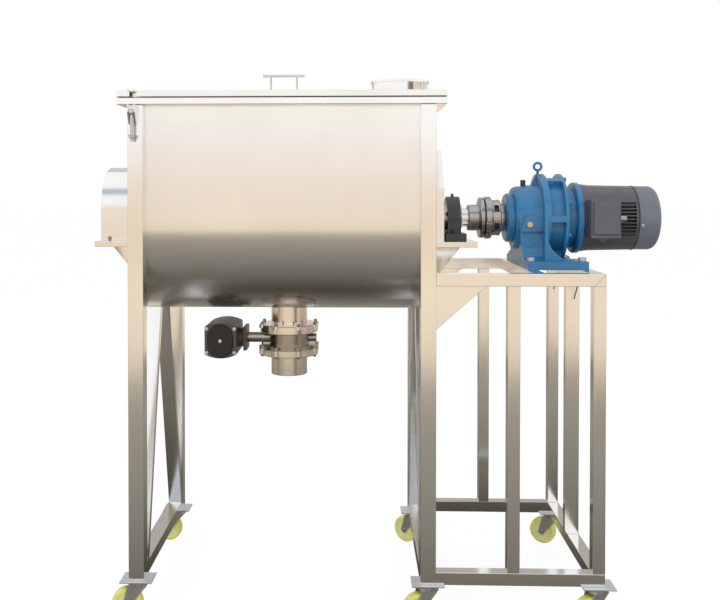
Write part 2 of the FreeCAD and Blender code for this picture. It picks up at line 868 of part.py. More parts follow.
def gussets():
    made = []
    start = -s.gusset_plate / 2
    for side in SIDES:
        middle = side * (leg_outer - s.rail / 2)
        corner_x = at(half_trough)
        outline = [
            (corner_x, drive_under),
            (corner_x, drive_under - s.gusset_height),
            (corner_x + s.gusset_length, drive_under),
        ]
        made.append(plate("Y", middle + start, s.gusset_plate, outline))
        near = leg_outer - s.rail
        small = [
            (side * near, drive_under),
            (side * (near - s.small_gusset), drive_under),
            (side * near, drive_under - s.small_gusset),
        ]
        made.append(plate("X", at(drive_end - s.rail / 2) + start, s.gusset_plate, small))
        post = s.side_post_depth / 2
        beside = [
            (side * post, drive_under),
            (side * (post + s.small_gusset), drive_under),
            (side * post, drive_under - s.small_gusset),
        ]
        made.append(plate("X", at(drive_end - s.rail / 2) + start, s.gusset_plate, beside))
    keep("frame_gussets", *made)


# ---------------------------------------------------------------- bearing shelves and covers
def arch_outline(half, foot, apex):
    """A section with upright sides and a round top."""
    centre = apex - half
    return [
        (half, foot),
        (half, centre),
        (0, apex, half),
        (-half, centre, half),
        (-half, foot),
    ]


def shelves():
    made = []
    for end in SIDES:
        low, high = span(end, half_trough, shelf_reach)
        top = box(at(low), at(high), -s.shelf_half_width, s.shelf_half_width,
                  shelf_top - s.shelf_plate, shelf_top)
        wide = s.shelf_half_width
        wall = s.shelf_plate
        lip_low, lip_high = span(end, shelf_reach - wall, shelf_reach)
        lips = [box(at(lip_low), at(lip_high), -wide, wide, shelf_top - s.shelf_lip, shelf_top)]
        for side in SIDES:
            near, far = span(side, wide - wall, wide)
            lips.append(box(at(low), at(high), near, far, shelf_top - s.shelf_lip, shelf_top))
        webs = []
        under = shelf_top - s.shelf_plate
        for side in SIDES:
            root_x = at(end * half_trough)
            outline = [
                (root_x, under),
                (root_x, under - s.shelf_gusset_height),
                (root_x + end * s.shelf_gusset_length, under),
            ]
            web_y = side * s.shelf_gusset_at - s.gusset_plate / 2
            webs.append(plate("Y", web_y, s.gusset_plate, outline))
        made.append(fuse(top, *lips, *webs))
    keep("bearing_shelves", *made)


def gable_outline(half, foot, eave, ridge, apex):
    """A section with upright sides, two roof slopes and a narrow flat ridge."""
    return [(half, foot), (half, eave), (ridge, apex), (-ridge, apex), (-half, eave), (-half, foot)]


def covers():
    """The arched guard over the left bearing, and the gabled cover of the right shaft seal."""
    sheet = s.guard_sheet
    low, high = -half_trough - s.guard_length, -half_trough
    outer = plate("X", at(low), high - low,
                  arch_outline(s.guard_radius, shelf_top, shaft_z + s.guard_apex))
    inner = plate("X", at(low) + sheet, high - low,
                  arch_outline(s.guard_radius - sheet, shelf_top - over,
                               shaft_z + s.guard_apex - sheet))
    keep("bearing_guard", cut(outer, inner))
    eave, apex = shaft_z + s.seal_cover_eave, shaft_z + s.seal_cover_apex
    outer = plate("X", at(half_trough), s.seal_cover_depth,
                  gable_outline(s.guard_radius, shelf_top, eave, s.seal_cover_ridge, apex))
    inner = plate("X", at(half_trough) - over, s.seal_cover_depth - sheet + over,
                  gable_outline(s.guard_radius - sheet, shelf_top - over, eave - sheet / 2,
                                s.seal_cover_ridge - sheet / 2, apex - sheet))
    hole = rod("X", at(half_trough), 0, shaft_z, s.shaft_radius + s.cover_hole_gap,
               s.seal_cover_depth + over)
    keep("seal_cover", cut(outer, inner, hole))


def shaft_seals():
    """A packing gland on the outside of each end plate, with two studs."""
    made = []
    bore = s.shaft_radius + s.joint_gap
    for end in SIDES:
        middle = s.seal_depth / 2
        outline = [
            (0, bore),
            (0, s.seal_radius),
            (middle, s.seal_radius),
            (middle, s.seal_radius - middle),
            (s.seal_depth, s.seal_radius - middle),
            (s.seal_depth, bore),
        ]
        body = turned(at(end * half_trough), shaft_z, [(end * x, r) for x, r in outline])
        made.append(body)
    keep("shaft_seals", *made)


# ---------------------------------------------------------------- shaft line
def bearings():
    housings, bolts, inserts = [], [], []
    base_low = shelf_top
    ring = s.bearing_ring
    for end in SIDES:
        middle = at(end * bearing_x)
        half = s.bearing_base_width / 2
        half_length = s.bearing_base_length / 2
        foot = box(middle - half, middle + half, -half_length, half_length,
                   base_low, base_low + s.bearing_base_thickness)
        cheek = s.bearing_housing_radius
        tower = plate("X", middle - s.bearing_housing_width / 2, s.bearing_housing_width, [
            (cheek + s.bearing_flare, base_low),
            (cheek + s.bearing_flare, base_low + s.bearing_base_thickness),
            (cheek, shaft_z, -s.bearing_housing_radius),
            (0, shaft_z + s.bearing_housing_radius, s.bearing_housing_radius),
            (-cheek, shaft_z, s.bearing_housing_radius),
            (-cheek - s.bearing_flare, base_low + s.bearing_base_thickness,
             -s.bearing_housing_radius),
            (-cheek - s.bearing_flare, base_low),
        ])
        nipple = rod("Z", middle, 0, shaft_z + s.bearing_housing_radius - over, s.nipple,
                     2 * s.nipple + over)
        bore = rod("X", middle - half - over, 0, shaft_z, ring, s.bearing_base_width + 2 * over)
        housings.append(cut(fuse(foot, tower, nipple), bore))
        for side in SIDES:
            bolt_y = side * s.bearing_bolt_spacing / 2
            bolts.append(rod("Z", middle, bolt_y, base_low + s.bearing_base_thickness,
                             2 * s.bearing_bolt, s.bearing_bolt_head))
        inside, outside = s.shaft_radius + s.running_clearance, ring - s.running_clearance
        lip = s.shaft_radius + s.insert_lip
        near, far = s.bearing_housing_width / 2, s.insert_width / 2
        inserts.append(turned(middle, shaft_z, [
            (-far, inside),
            (-far, lip),
            (-near, lip + s.insert_slope),
            (-near, outside),
            (near, outside),
            (near, lip + s.insert_slope),
            (far, lip),
            (far, inside),
        ]))
    keep("bearing_housings", *housings)
    keep("bearing_inserts", *inserts)
    machine_bolts.extend(bolts)


def main_shaft():
    start = -bearing_x - s.insert_width / 2 - s.shaft_stub
    length = disc_x + s.disc_thickness - start
    keep("main_shaft", rod("X", at(start), 0, shaft_z, s.shaft_radius, length))


def ribbon(radius, depth, hand, middle_angle):
    """A flat bar on edge that follows a helix about the shaft; hand is 1 or -1, and the
    angle is the bar's own at the middle of the trough."""
    middle = radius - depth / 2
    spine = add("Part::Helix", Pitch=s.ribbon_pitch, Height=ribbon_length, Radius=middle)
    spine.LocalCoord = 1 if hand < 0 else 0
    section = add("Part::Plane", Length=depth, Width=s.ribbon_thickness)
    place(section, middle - depth / 2, 0, -s.ribbon_thickness / 2, Rotation(X_AXIS, 90))
    sweep = doc.addObject("Part::Sweep", "Ribbon")
    sweep.Sections = [section]
    sweep.Spine = (spine, ["Edge1"])
    sweep.Solid = True
    sweep.Frenet = True
    along = place(group(sweep), rotation=Rotation(Y_AXIS, 90))
    placed = place(group(along), at(-ribbon_length / 2), 0, shaft_z)
    return tilt(placed, X_AXIS, middle_angle - hand * 180 * ribbon_length / s.ribbon_pitch)


def agitator():
    outer_radius = s.trough_radius - s.trough_wall - s.ribbon_clearance
    keep("outer_ribbons", *[
        ribbon(outer_radius, s.outer_ribbon_depth, 1, angle) for angle in (270, 450)
    ])
    keep("inner_ribbons", *[
        ribbon(s.inner_ribbon_radius, s.inner_ribbon_depth, -1, angle) for angle in (270, 450)
    ])
    # both ribbon pairs cross the same line through the shaft at every quarter of the pitch
    station = s.ribbon_pitch / 4
    reach = int(((ribbon_length / 2 - s.arm_radius) / station).value)
    gap = s.joint_gap
    arms = []
    for index in range(-reach, reach + 1):
        x = at(station * index)
        for side in SIDES:
            for near, far in (
                (s.shaft_radius + gap, s.inner_ribbon_radius - s.inner_ribbon_depth - gap),
                (s.inner_ribbon_radius + gap, outer_radius - s.outer_ribbon_depth - gap),
            ):
                low, high = span(side, near, far)
                if index % 2:
                    arms.append(rod("Z", x, 0, shaft_z + low, s.arm_radius, high - low))
                else:
                    arms.append(rod("Y", x, low, shaft_z, s.arm_radius, high - low))
    keep("ribbon_arms", *arms)


def coupling():
    """Two flanged hubs joined by pins in rubber bushes."""
    clear = s.running_clearance
    rim, edge = s.disc_radius, s.coupling_chamfer
    driven_end = s.hub_length + s.disc_thickness
    driven = turned(at(driven_x), shaft_z, [
        (0, s.shaft_radius + clear),
        (0, s.hub_radius - edge),
        (edge, s.hub_radius),
        (s.hub_length, s.hub_radius),
        (s.hub_length, rim - edge),
        (s.hub_length + edge, rim),
        (driven_end, rim),
        (driven_end, s.shaft_radius + clear),
    ])
    driver_end = s.disc_thickness + s.drive_hub_length
    driver = turned(at(drive_disc_x), shaft_z, [
        (0, s.output_radius + clear),
        (0, rim),
        (s.disc_thickness - edge, rim),
        (s.disc_thickness, rim - edge),
        (s.disc_thickness, s.drive_hub_radius),
        (driver_end, s.drive_hub_radius),
        (driver_end, s.output_radius + clear),
    ])
    pins, driven_holes, driver_holes = [], [], []
    start = at(disc_x + s.coupling_recess)
    length = 2 * (s.disc_thickness - s.coupling_recess) + s.disc_gap
    hole_radius = s.coupling_pin_radius + s.joint_gap
    driver_depth = s.disc_thickness - s.coupling_recess + s.joint_gap
    for y, z in ring_of(s.coupling_pins, s.coupling_pin_circle):
        pins.append(rod("X", start, y, shaft_z + z, s.coupling_pin_radius, length))
        driven_holes.append(rod("X", start - s.joint_gap, y, shaft_z + z, hole_radius,
                                s.disc_thickness))
        driver_holes.append(rod("X", at(drive_disc_x) - over, y, shaft_z + z, hole_radius,
                                driver_depth + over))
    keep("coupling_driven", cut(driven, *driven_holes))
    keep("coupling_driver", cut(driver, *driver_holes), *pins)


# ---------------------------------------------------------------- reducer
def reducer_casting(foot_high):
    """The output drum on its pedestal and foot, with the flange that meets the ring case."""
    half, fillet = s.pedestal_half_width, s.pedestal_fillet
    drum_length = s.nose_length + s.housing_length
    drum = turned(at(nose_x), shaft_z, [
        (0, 0),
        (0, s.nose_radius),
        (s.nose_length, s.housing_small_radius),
        (drum_length, s.housing_radius),
        (drum_length, 0),
    ])
    cheeks = plate("X", at(housing_x), s.housing_length, [
        (half, shaft_z),
        (-half, shaft_z),
        (-half, foot_high + fillet),
        (-half - fillet, foot_high, -fillet),
        (-half - fillet, foot_high - over),
        (half + fillet, foot_high - over),
        (half + fillet, foot_high),
        (half, foot_high + fillet, -fillet),
    ])
    wide = half + fillet + over
    profile = plate("Y", -wide, 2 * wide, [
        (at(ring_x), shaft_z + over),
        (at(housing_x), shaft_z + over),
        (at(housing_x), shaft_z - s.pedestal_shoulder),
        (at(foot_x), foot_high),
        (at(foot_x), foot_high - 2 * over),
        (at(ring_x), foot_high - 2 * over),
    ])
    flange = plate("X", at(ring_x - s.housing_flange), s.housing_flange,
                   arch_outline(s.ring_radius, foot_high - over, shaft_z + s.ring_radius))
    base = box(at(foot_x), at(foot_x + s.foot_length), -s.foot_half_width, s.foot_half_width,
               drive_top, foot_high)
    web_top = shaft_z - s.web_drop
    web_end = at(ring_x + s.web_length)
    webs = []
    for side in SIDES:
        near, far = span(side, s.ring_radius - s.web_thickness, s.ring_radius)
        webs.append(plate("Y", near, far - near, [
            (at(ring_x) - over, web_top),
            (at(ring_x) - over, foot_high - over),
            (web_end, foot_high - over),
            (web_end, foot_high),
            (at(ring_x), web_top, -s.web_curve),
        ]))
    boss_end = at(ring_x - s.housing_flange)
    boss = plate("Y", -s.sight_boss_reach, s.sight_boss_reach, [
        (boss_end, shaft_z + s.sight_boss_top),
        (at(housing_x) + s.sight_boss_slope, shaft_z + s.sight_boss_top),
        (at(housing_x), shaft_z - s.pedestal_shoulder),
        (boss_end, shaft_z - s.pedestal_shoulder),
    ])
    rib_start = at(ring_x - s.housing_flange) - s.eye_rib_length
    rib = plate("Y", -s.eye_rib / 2, s.eye_rib, [
        (boss_end + over, shaft_z + s.ring_radius),
        (boss_end, shaft_z + s.ring_radius),
        (rib_start, shaft_z + s.housing_radius - s.cast_edge),
        (rib_start, shaft_z + s.housing_small_radius - s.cast_edge),
        (boss_end + over, shaft_z + s.housing_small_radius - s.cast_edge),
    ])
    cradle = rod("X", at(ring_x), 0, shaft_z, s.ring_radius + s.joint_gap, s.foot_length)
    whole = fuse(drum, common(cheeks, profile), flange, base, *webs, boss, rib)
    return cut(whole, cradle)


def ring_case():
    """The ring gear case: a drum between two flanges, with windows between its ribs."""
    rim_out = s.ring_radius
    case = turned(at(ring_x), shaft_z, [
        (0, 0),
        (0, rim_out),
        (s.ring_flange, rim_out),
        (s.ring_flange, s.ring_core),
        (s.ring_length - s.ring_flange, s.ring_core),
        (s.ring_length - s.ring_flange, rim_out),
        (s.ring_length, rim_out),
        (s.ring_length, 0),
    ])
    ribs = []
    inner = s.ring_core - s.rib_root
    outer = chord(rim_out, s.ring_rib_width / 2)
    for index in range(int(s.ring_ribs.value)):
        angle = 360.0 * index / s.ring_ribs.value
        rib = add("Part::Box", Length=s.ring_length - 2 * s.ring_flange + 2 * over,
                  Width=outer - inner, Height=s.ring_rib_width)
        across, up = math.cos(math.radians(angle)), math.sin(math.radians(angle))
        ribs.append(place(rib, at(ring_x) + s.ring_flange - over,
                          inner * across + s.ring_rib_width * (up / 2),
                          shaft_z + inner * up - s.ring_rib_width * (across / 2),
                          Rotation(X_AXIS, angle)))
    return fuse(case, *ribs)


def reducer():
    foot_high = drive_top + s.foot_thickness
    seal_bore = s.output_radius + s.joint_gap
    edge = s.cast_edge
    keep("output_shaft", rod(
        "X", at(drive_disc_x) + s.disc_gap, 0, shaft_z, s.output_radius,
        output_x - drive_disc_x - s.disc_gap + s.output_seal_length - 2 * s.joint_gap))
    keep("reducer_seal", turned(at(output_x), shaft_z, [
        (0, seal_bore),
        (0, s.output_seal - edge),
        (edge, s.output_seal),
        (s.output_seal_length, s.output_seal),
        (s.output_seal_length, seal_bore),
    ]))
    housing = reducer_casting(foot_high)
    keep("reducer_housing", housing)
    keep("reducer_ring_case", ring_case())
    flange_end = s.neck_length + s.input_flange
    keep("reducer_input_flange", turned(at(neck_x), shaft_z, [
        (0, 0),
        (0, s.ring_core),
        (s.neck_flange, s.ring_core),
        (s.neck_flange, s.neck_radius),
        (s.neck_length, s.neck_radius),
        (s.neck_length, s.input_flange_radius - edge),
        (s.neck_length + edge, s.input_flange_radius),
        (flange_end, s.input_flange_radius),
        (flange_end, 0),
    ]))
    eye_x = at(ring_x) - s.housing_flange / 2
    eye_z = shaft_z + s.ring_radius
    shank = rod("Z", eye_x, 0, eye_z - s.eye_wire, s.eye_wire, s.eye_radius + s.eye_wire)
    ring = add("Part::Torus", Radius1=s.eye_radius, Radius2=s.eye_wire)
    place(ring, eye_x, 0, eye_z + 2 * s.eye_radius, UPRIGHT["Y"])
    keep("lifting_eye", cut(fuse(shank, ring), housing))
    fitting_x = at(housing_x) + s.fitting_at
    side_reach = s.housing_radius + s.fitting_rise
    plug_reach = s.pedestal_half_width + s.plug_rise
    breather = rod("Z", fitting_x, 0, shaft_z, s.breather_radius, side_reach)
    gauge = rod("Y", fitting_x, -side_reach, shaft_z - s.gauge_drop, s.gauge_radius, side_reach)
    plug = rod("Y", fitting_x, -plug_reach, shaft_z - s.plug_drop, s.plug_radius, plug_reach)
    keep("oil_fittings", *[cut(fitting, housing) for fitting in (breather, gauge, plug)])
    for bolt_x in foot_bolts_x:
        for side in SIDES:
            machine_bolts.append(rod("Z", at(bolt_x), side * s.foot_bolt_at, foot_high,
                                     1.5 * s.foot_bolt, s.foot_bolt_head))
    bolt_circle = s.ring_radius - s.flange_bolt_inset
    for y, z in ring_of(s.flange_bolts, bolt_circle, 22.5):
        machine_bolts.append(rod("X", at(neck_x), y, shaft_z + z, s.flange_bolt,
                                 s.flange_bolt_head))
    keep("machine_bolts", *machine_bolts)


# ---------------------------------------------------------------- motor
def motor():
    wall, bell = s.motor_wall, s.end_bell
    length = bell + s.motor_length
    bell_radius = s.input_flange_radius - s.cast_edge
    end_radius = s.motor_radius - s.motor_taper
    case = turned(at(bell_x), shaft_z, [
        (0, 0),
        (0, bell_radius),
        (s.bell_rim, bell_radius),
        (bell, s.motor_radius),
        (length, end_radius),
        (length, end_radius - wall),
        (length - s.bell_rim, end_radius - wall),
        (length - s.bell_rim, 0),
    ])
    room = turned(at(bell_x), shaft_z, [
        (s.bell_rim, 0),
        (s.bell_rim, bell_radius + s.joint_gap),
        (bell, s.motor_radius + s.joint_gap),
        (length, end_radius + s.joint_gap),
        (length, 0),
    ])
    # cooling fins in a pocket on each side, from the terminal box to the fan cover
    fins_start = at(bell_x) + bell
    fins_end = at(cover_x) - s.fin_end
    pockets = []
    count = int((2 * s.fin_half_height / s.fin_pitch).value)
    for side in SIDES:
        near, far = span(side, s.fin_base, s.motor_radius + over)
        for index in range(count):
            low = shaft_z - s.fin_half_height + s.fin_pitch * index
            pockets.append(box(fins_start, fins_end, near, far, low, low + s.fin_pitch - s.fin_plate))
    shaft_bore = rod("X", at(cover_x) - s.motor_shaft_depth, 0, shaft_z,
                     s.motor_shaft_radius + s.joint_gap, s.motor_shaft_depth + over)
    keep("motor_case", cut(case, shaft_bore, *pockets))
    start = at(bell_x) + s.terminal_start
    end = start + s.terminal_length
    high, inset = s.terminal_half_height, s.terminal_lid_inset
    terminal = box(start, end, -s.terminal_reach, s.terminal_root - s.motor_radius,
                   shaft_z - high, shaft_z + high)
    lid_pad = box(start + inset, end - inset, -s.terminal_reach - s.terminal_lid,
                  -s.terminal_reach, shaft_z - high + 2 * inset, shaft_z + high - inset)
    body = cut(fuse(terminal, lid_pad), room)
    gland_y = -(s.terminal_reach + s.motor_radius) / 2
    gland = rod("X", end, gland_y, shaft_z, s.gland_radius, s.gland_length)
    lug_z = shaft_z - high
    lug_half = s.motor_lug_length / 2
    lug_x = start + s.terminal_length / 2
    lug = plate("Y", -s.motor_radius - s.motor_lug_plate, s.motor_lug_plate, [
        (lug_x + lug_half, lug_z),
        (lug_x - lug_half, lug_z),
        (lug_x, lug_z - s.motor_lug_drop),
    ])
    keep("terminal_box", body, gland, lug)
    round_off, sheet = s.fan_cover_round, s.fan_cover_sheet
    depth, outside = s.fan_cover_length, s.fan_cover_radius
    cover = turned(at(cover_x), shaft_z, [
        (0, outside - sheet),
        (0, outside),
        (depth - round_off, outside),
        (depth, outside - round_off, -round_off),
        (depth, 0),
        (depth - sheet, 0),
        (depth - sheet, outside - round_off),
        (depth - round_off, outside - sheet, round_off - sheet),
    ])
    slot_end = outside - round_off - s.slot_width
    slots = int(((slot_end - s.slot_first) / s.slot_pitch).value)
    keep("fan_cover", cut(cover, *[ring_slot(s.slot_first + s.slot_pitch * i) for i in range(slots)]))
    hub_x = at(cover_x) + s.fan_gap
    hub = rod("X", hub_x, 0, shaft_z, s.motor_shaft_radius + s.fan_hub, s.fan_width)
    disc = rod("X", hub_x, 0, shaft_z, s.fan_radius, s.fan_disc)
    blades = []
    inner = s.motor_shaft_radius + s.fan_hub / 2
    for index in range(int(s.fan_blades.value)):
        angle = 360.0 * index / s.fan_blades.value
        blade = add("Part::Box", Length=s.fan_width - over, Width=s.fan_radius - inner - over,
                    Height=s.fan_blade)
        across, up = math.cos(math.radians(angle)), math.sin(math.radians(angle))
        blades.append(place(blade, hub_x + over, inner * across, shaft_z + inner * up,
                            Rotation(X_AXIS, angle)))
    bore = rod("X", hub_x - over, 0, shaft_z, s.motor_shaft_radius + s.running_clearance,
               s.fan_width + 2 * over)
    shaft_length = s.motor_shaft_depth + s.fan_gap + s.fan_width - 2 * s.fan_blade
    shaft = rod("X", at(cover_x) - s.motor_shaft_depth + s.joint_gap, 0, shaft_z,
                s.motor_shaft_radius, shaft_length)
    keep("motor_fan", cut(fuse(hub, disc, *blades), bore), shaft)


def ring_slot(radius):
    """An annular air slot in the fan cover, bridged at four places."""
    start = at(cover_x) + s.fan_cover_length - s.fan_cover_sheet - over
    depth = s.fan_cover_sheet + 2 * over
    ring = cut(
        rod("X", start, 0, shaft_z, radius + s.slot_width, depth),
        rod("X", start - over, 0, shaft_z, radius, depth + 2 * over),
    )
    half = s.slot_bridge / 2
    wide = radius + 2 * s.slot_width
    low, high = start - over, start + depth + over
    bridges = fuse(
        box(low, high, -wide, wide, shaft_z - half, shaft_z + half),
        box(low, high, -half, half, shaft_z - wide, shaft_z + wide),
    )
    return cut(ring, bridges)


# ---------------------------------------------------------------- discharge valve
def valve():
    top = shaft_z - s.outlet_drop
    bore = s.outlet_radius - s.outlet_wall
    pipe_top = shaft_z - chord(s.trough_radius + s.weld_gap, s.outlet_radius)
    pipe = cut(
        rod("Z", at(0), 0, top, s.outlet_radius, pipe_top - top + s.brace_thickness),
        rod("Z", at(0), 0, top - over, bore, pipe_top - top + 2 * s.brace_thickness),
        rod("X", at(-s.leg_width * 2), 0, shaft_z, s.trough_radius + s.weld_gap, s.leg_width * 4),
    )
    keep("outlet_pipe", pipe)
    body_top = top - s.valve_flange
    body_low = body_top - s.valve_body_height
    spout_length = s.spout_flange + s.spout_length
    spout_low = body_low - spout_length
    ears = ring_of(s.valve_ears, s.valve_flange_radius + s.valve_ear_radius - s.valve_ear_lap, 22.5)

    def flanged(low, high):
        disc = rod("Z", at(0), 0, low, s.valve_flange_radius, high - low)
        tabs = [rod("Z", at(0) + x, y, low, s.valve_ear_radius, high - low) for x, y in ears]
        return [disc] + tabs

    stem_z = body_low + s.valve_body_height / 2 + s.stem_rise
    stem_start = at(-s.valve_body_radius - s.actuator_gap)
    housing = rod("X", stem_start, 0, stem_z, s.stem_housing,
                  s.actuator_gap + s.valve_body_radius)
    boss = rod("X", at(0), 0, stem_z, s.stem_boss, s.stem_boss_reach)
    full_bore = rod("Z", at(0), 0, body_low - over, bore, top - body_low + 2 * over)
    stem_bore = rod("X", stem_start - over, 0, stem_z, s.stem_radius + s.running_clearance,
                    s.actuator_gap + 2 * s.valve_body_radius)
    half_flange = s.valve_flange / 2
    body = fuse(
        rod("Z", at(0), 0, body_low, s.valve_body_radius, top - body_low),
        *flanged(body_top + half_flange, top),
        *flanged(body_low, body_low + half_flange),
        housing,
        boss,
    )
    keep("valve_body", cut(body, full_bore, stem_bore))
    keep("valve_spout", cut(
        fuse(
            rod("Z", at(0), 0, spout_low, s.outlet_radius, spout_length),
            *flanged(body_low - s.spout_flange, body_low),
        ),
        rod("Z", at(0), 0, spout_low - over, bore, spout_length + 2 * over),
    ))
    head = s.valve_bolt_head
    bolts = []
    for x, y in ears:
        for low in (top, body_low - s.spout_flange - head):
            bolts.append(rod("Z", at(0) + x, y, low, s.valve_bolt, head))
    keep("valve_bolts", *bolts)
    disc = rod("Z", at(0), 0, stem_z - s.valve_disc / 2, bore - s.valve_disc_clearance, s.valve_disc)
    stem = rod("X", stem_start + s.joint_gap, 0, stem_z, s.stem_radius,
               s.actuator_gap + 2 * s.valve_body_radius - s.stem_overlap)
    keep("valve_disc", fuse(disc, stem))
    actuator(stem_z, stem_start)


def oval_outline(x, z, half_width, half_height):
    """An upright oval: half circles joined by short straight sides."""
    return [
        (x + half_width, z + half_height - half_width),
        (x, z + half_height, half_width),
        (x - half_width, z + half_height - half_width, half_width),
        (x - half_width, z - half_height + half_width),
        (x, z - half_height, half_width),
        (x + half_width, z - half_height + half_width, half_width),
    ]


def actuator(stem_z, pad_x):
    """The double-acting rack and pinion actuator on the end of the valve stem."""
    body_right = pad_x - s.actuator_pad
    body_left = body_right - s.actuator_width
    middle_x = (body_left + body_right) / 2
    corner, crown = s.actuator_half_height, s.actuator_crown
    half = s.actuator_width / 2
    rise = crown - corner
    arc = (half * half + rise * rise) / (2 * rise)
    outline = [
        (body_right, stem_z + corner),
        (middle_x, stem_z + crown, arc),
        (body_left, stem_z + corner, arc),
        (body_left, stem_z - corner),
        (middle_x, stem_z - crown, arc),
        (body_right, stem_z - corner, arc),
    ]
    reach = s.actuator_half_length
    body = plate("Y", s.actuator_cap - reach, 2 * (reach - s.actuator_cap), outline)
    neck = rod("X", body_right - over, 0, stem_z, s.actuator_neck, s.actuator_pad)
    pad = box(pad_x - s.actuator_pad_plate, pad_x, -s.actuator_pad_half, s.actuator_pad_half,
              stem_z - s.actuator_pad_half, stem_z + s.actuator_pad_half)
    keep("actuator_body", fuse(body, neck, pad))
    caps = []
    boss_outline = oval_outline(middle_x, stem_z, s.actuator_boss_half_width,
                                s.actuator_boss_half_height)
    for side in SIDES:
        near, far = span(side, reach - s.actuator_cap, reach - s.actuator_boss)
        cap = plate("Y", near, far - near, outline)
        near, far = span(side, reach - s.actuator_boss - over, reach)
        caps.append(fuse(cap, plate("Y", near, far - near, boss_outline)))
    keep("actuator_caps", *caps)


# ---------------------------------------------------------------- casters
def caster_places():
    """Name, place and rest angle of each caster."""
    leg_x = half_trough - s.leg_width / 2
    leg_y = (leg_outer + leg_inner) / 2
    end_x = drive_end - s.rail / 2
    end_y = leg_outer - s.rail / 2
    return [
        ("front_left", -leg_x, -leg_y, 0.0),
        ("rear_left", -leg_x, leg_y, -10.0),
        ("front_right", leg_x, -leg_y, 20.0),
        ("rear_right", leg_x, leg_y, -35.0),
        ("front_drive", end_x, -end_y, 25.0),
        ("rear_drive", end_x, end_y, -28.0),
    ]


def casters():
    plates = []
    for name, x, y, angle in caster_places():
        half_x, half_y = s.caster_plate_length / 2, s.caster_plate_width / 2
        plates.append(box(at(x) - half_x, at(x) + half_x, y - half_y, y + half_y,
                          leg_foot - s.caster_plate, leg_foot))
        head_top = leg_foot - s.caster_plate - s.joint_gap
        head_low = head_top - s.caster_head_height
        head = rod("Z", 0, 0, head_low, s.caster_head, s.caster_head_height)
        outer = s.fork_gap + s.fork_sheet
        bridge = box(-s.caster_head, s.caster_head, -outer, outer, head_low - s.fork_sheet, head_low)
        axle_x = -s.caster_trail
        tip = 2.5 * s.axle_radius
        cheeks = []
        for side in SIDES:
            near, far = span(side, s.fork_gap, outer)
            cheeks.append(plate("Y", near, far - near, [
                (s.caster_head, head_low - s.fork_sheet / 2),
                (-s.caster_head, head_low - s.fork_sheet / 2),
                (axle_x - tip, s.wheel_radius),
                (axle_x, s.wheel_radius - tip, tip),
                (axle_x + tip, s.wheel_radius, tip),
            ], [(axle_x, s.wheel_radius, s.axle_radius + s.running_clearance)]))
        axle = rod("Y", axle_x, -outer - s.axle_head, s.wheel_radius, s.axle_radius,
                   2 * (outer + s.axle_head))
        fork = group(fuse(head, bridge, *cheeks), axle)
        keep(f"fork_{name}", place(fork, at(x), y, 0, Rotation(Z_AXIS, angle)))
        half, tread = s.wheel_half_width, s.wheel_radius
        body, sketch = sketched("X")
        bore = s.axle_radius + s.running_clearance
        face, dish, shoulder = half + s.wheel_hub_rise, half - s.wheel_dish, s.tyre_shoulder
        draw(sketch, [
            (-face, bore),
            (-face, s.wheel_hub),
            (-dish, s.wheel_hub),
            (-dish, tread - s.tyre_depth),
            (-half, tread - s.tyre_depth),
            (-half, tread - shoulder),
            (shoulder - half, tread),
            (half - shoulder, tread),
            (half, tread - shoulder),
            (half, tread - s.tyre_depth),
            (dish, tread - s.tyre_depth),
            (dish, s.wheel_hub),
            (face, s.wheel_hub),
            (face, bore),
        ])
        spin = body.newObject("PartDesign::Revolution", "Turning")
        spin.Profile = sketch
        spin.ReferenceAxis = (origin_axis(body, "Y_Axis"), [""])
        spin.Angle = 360.0
        place(body, axle_x, 0, s.wheel_radius)
        wheel = group(body)
        keep(f"wheel_{name}", place(wheel, at(x), y, 0, Rotation(Z_AXIS, angle)))
    keep("caster_plates", *plates)


# ---------------------------------------------------------------- build and write
for build in (
    trough, rim, lid, lid_fittings, clamp, legs, end_frames, drive_frame, gussets, shelves, covers,
    shaft_seals, bearings, main_shaft, agitator, coupling, reducer, motor, valve, casters,
):
    build()
doc.recompute()

faults = [
    f"{made.Label}: {made.State}"
    for made in doc.Objects
    if "Invalid" in made.State or "Error" in made.State
]
for label, made in parts.items():
    if made.Shape.isNull() or not made.Shape.isValid() or not made.Shape.Solids:
        faults.append(f"{label}: no valid solid")
if faults:
    raise RuntimeError("\n".join(faults))

os.makedirs("parts", exist_ok=True)
for label, made in parts.items():
    made.Shape.exportStep(f"parts/{label}.step")
    print(label, len(made.Shape.Solids), round(made.Shape.Volume / 1000.0), "cm3")
whole = Part.makeCompound([made.Shape for made in parts.values()]).BoundBox
print(len(parts), "sub-parts,", "box", [round(value, 1) for value in (
    whole.XMin, whole.XMax, whole.YMin, whole.YMax, whole.ZMin, whole.ZMax)])
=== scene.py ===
"""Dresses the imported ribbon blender: finishes, edges, fasteners, weld seams and the stage."""

import json
import math

import bpy
from mathutils import Matrix, Vector


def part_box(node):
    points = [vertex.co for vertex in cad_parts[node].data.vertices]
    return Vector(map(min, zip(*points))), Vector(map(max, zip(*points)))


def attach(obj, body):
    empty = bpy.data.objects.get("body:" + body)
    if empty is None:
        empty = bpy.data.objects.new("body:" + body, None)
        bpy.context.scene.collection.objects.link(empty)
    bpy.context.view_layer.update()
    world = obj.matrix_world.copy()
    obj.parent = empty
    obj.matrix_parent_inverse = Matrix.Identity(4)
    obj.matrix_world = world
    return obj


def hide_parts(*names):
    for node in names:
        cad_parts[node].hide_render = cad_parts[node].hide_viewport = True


bl_info = {
    "name": "Ribbon blender dressing",
    "version": (1, 0, 0),
    "blender": (4, 5, 0),
    "location": "3D View > Sidebar > Blender",
    "description": "Finishes and small parts of a ribbon blender on its packed frame",
    "category": "Object",
}

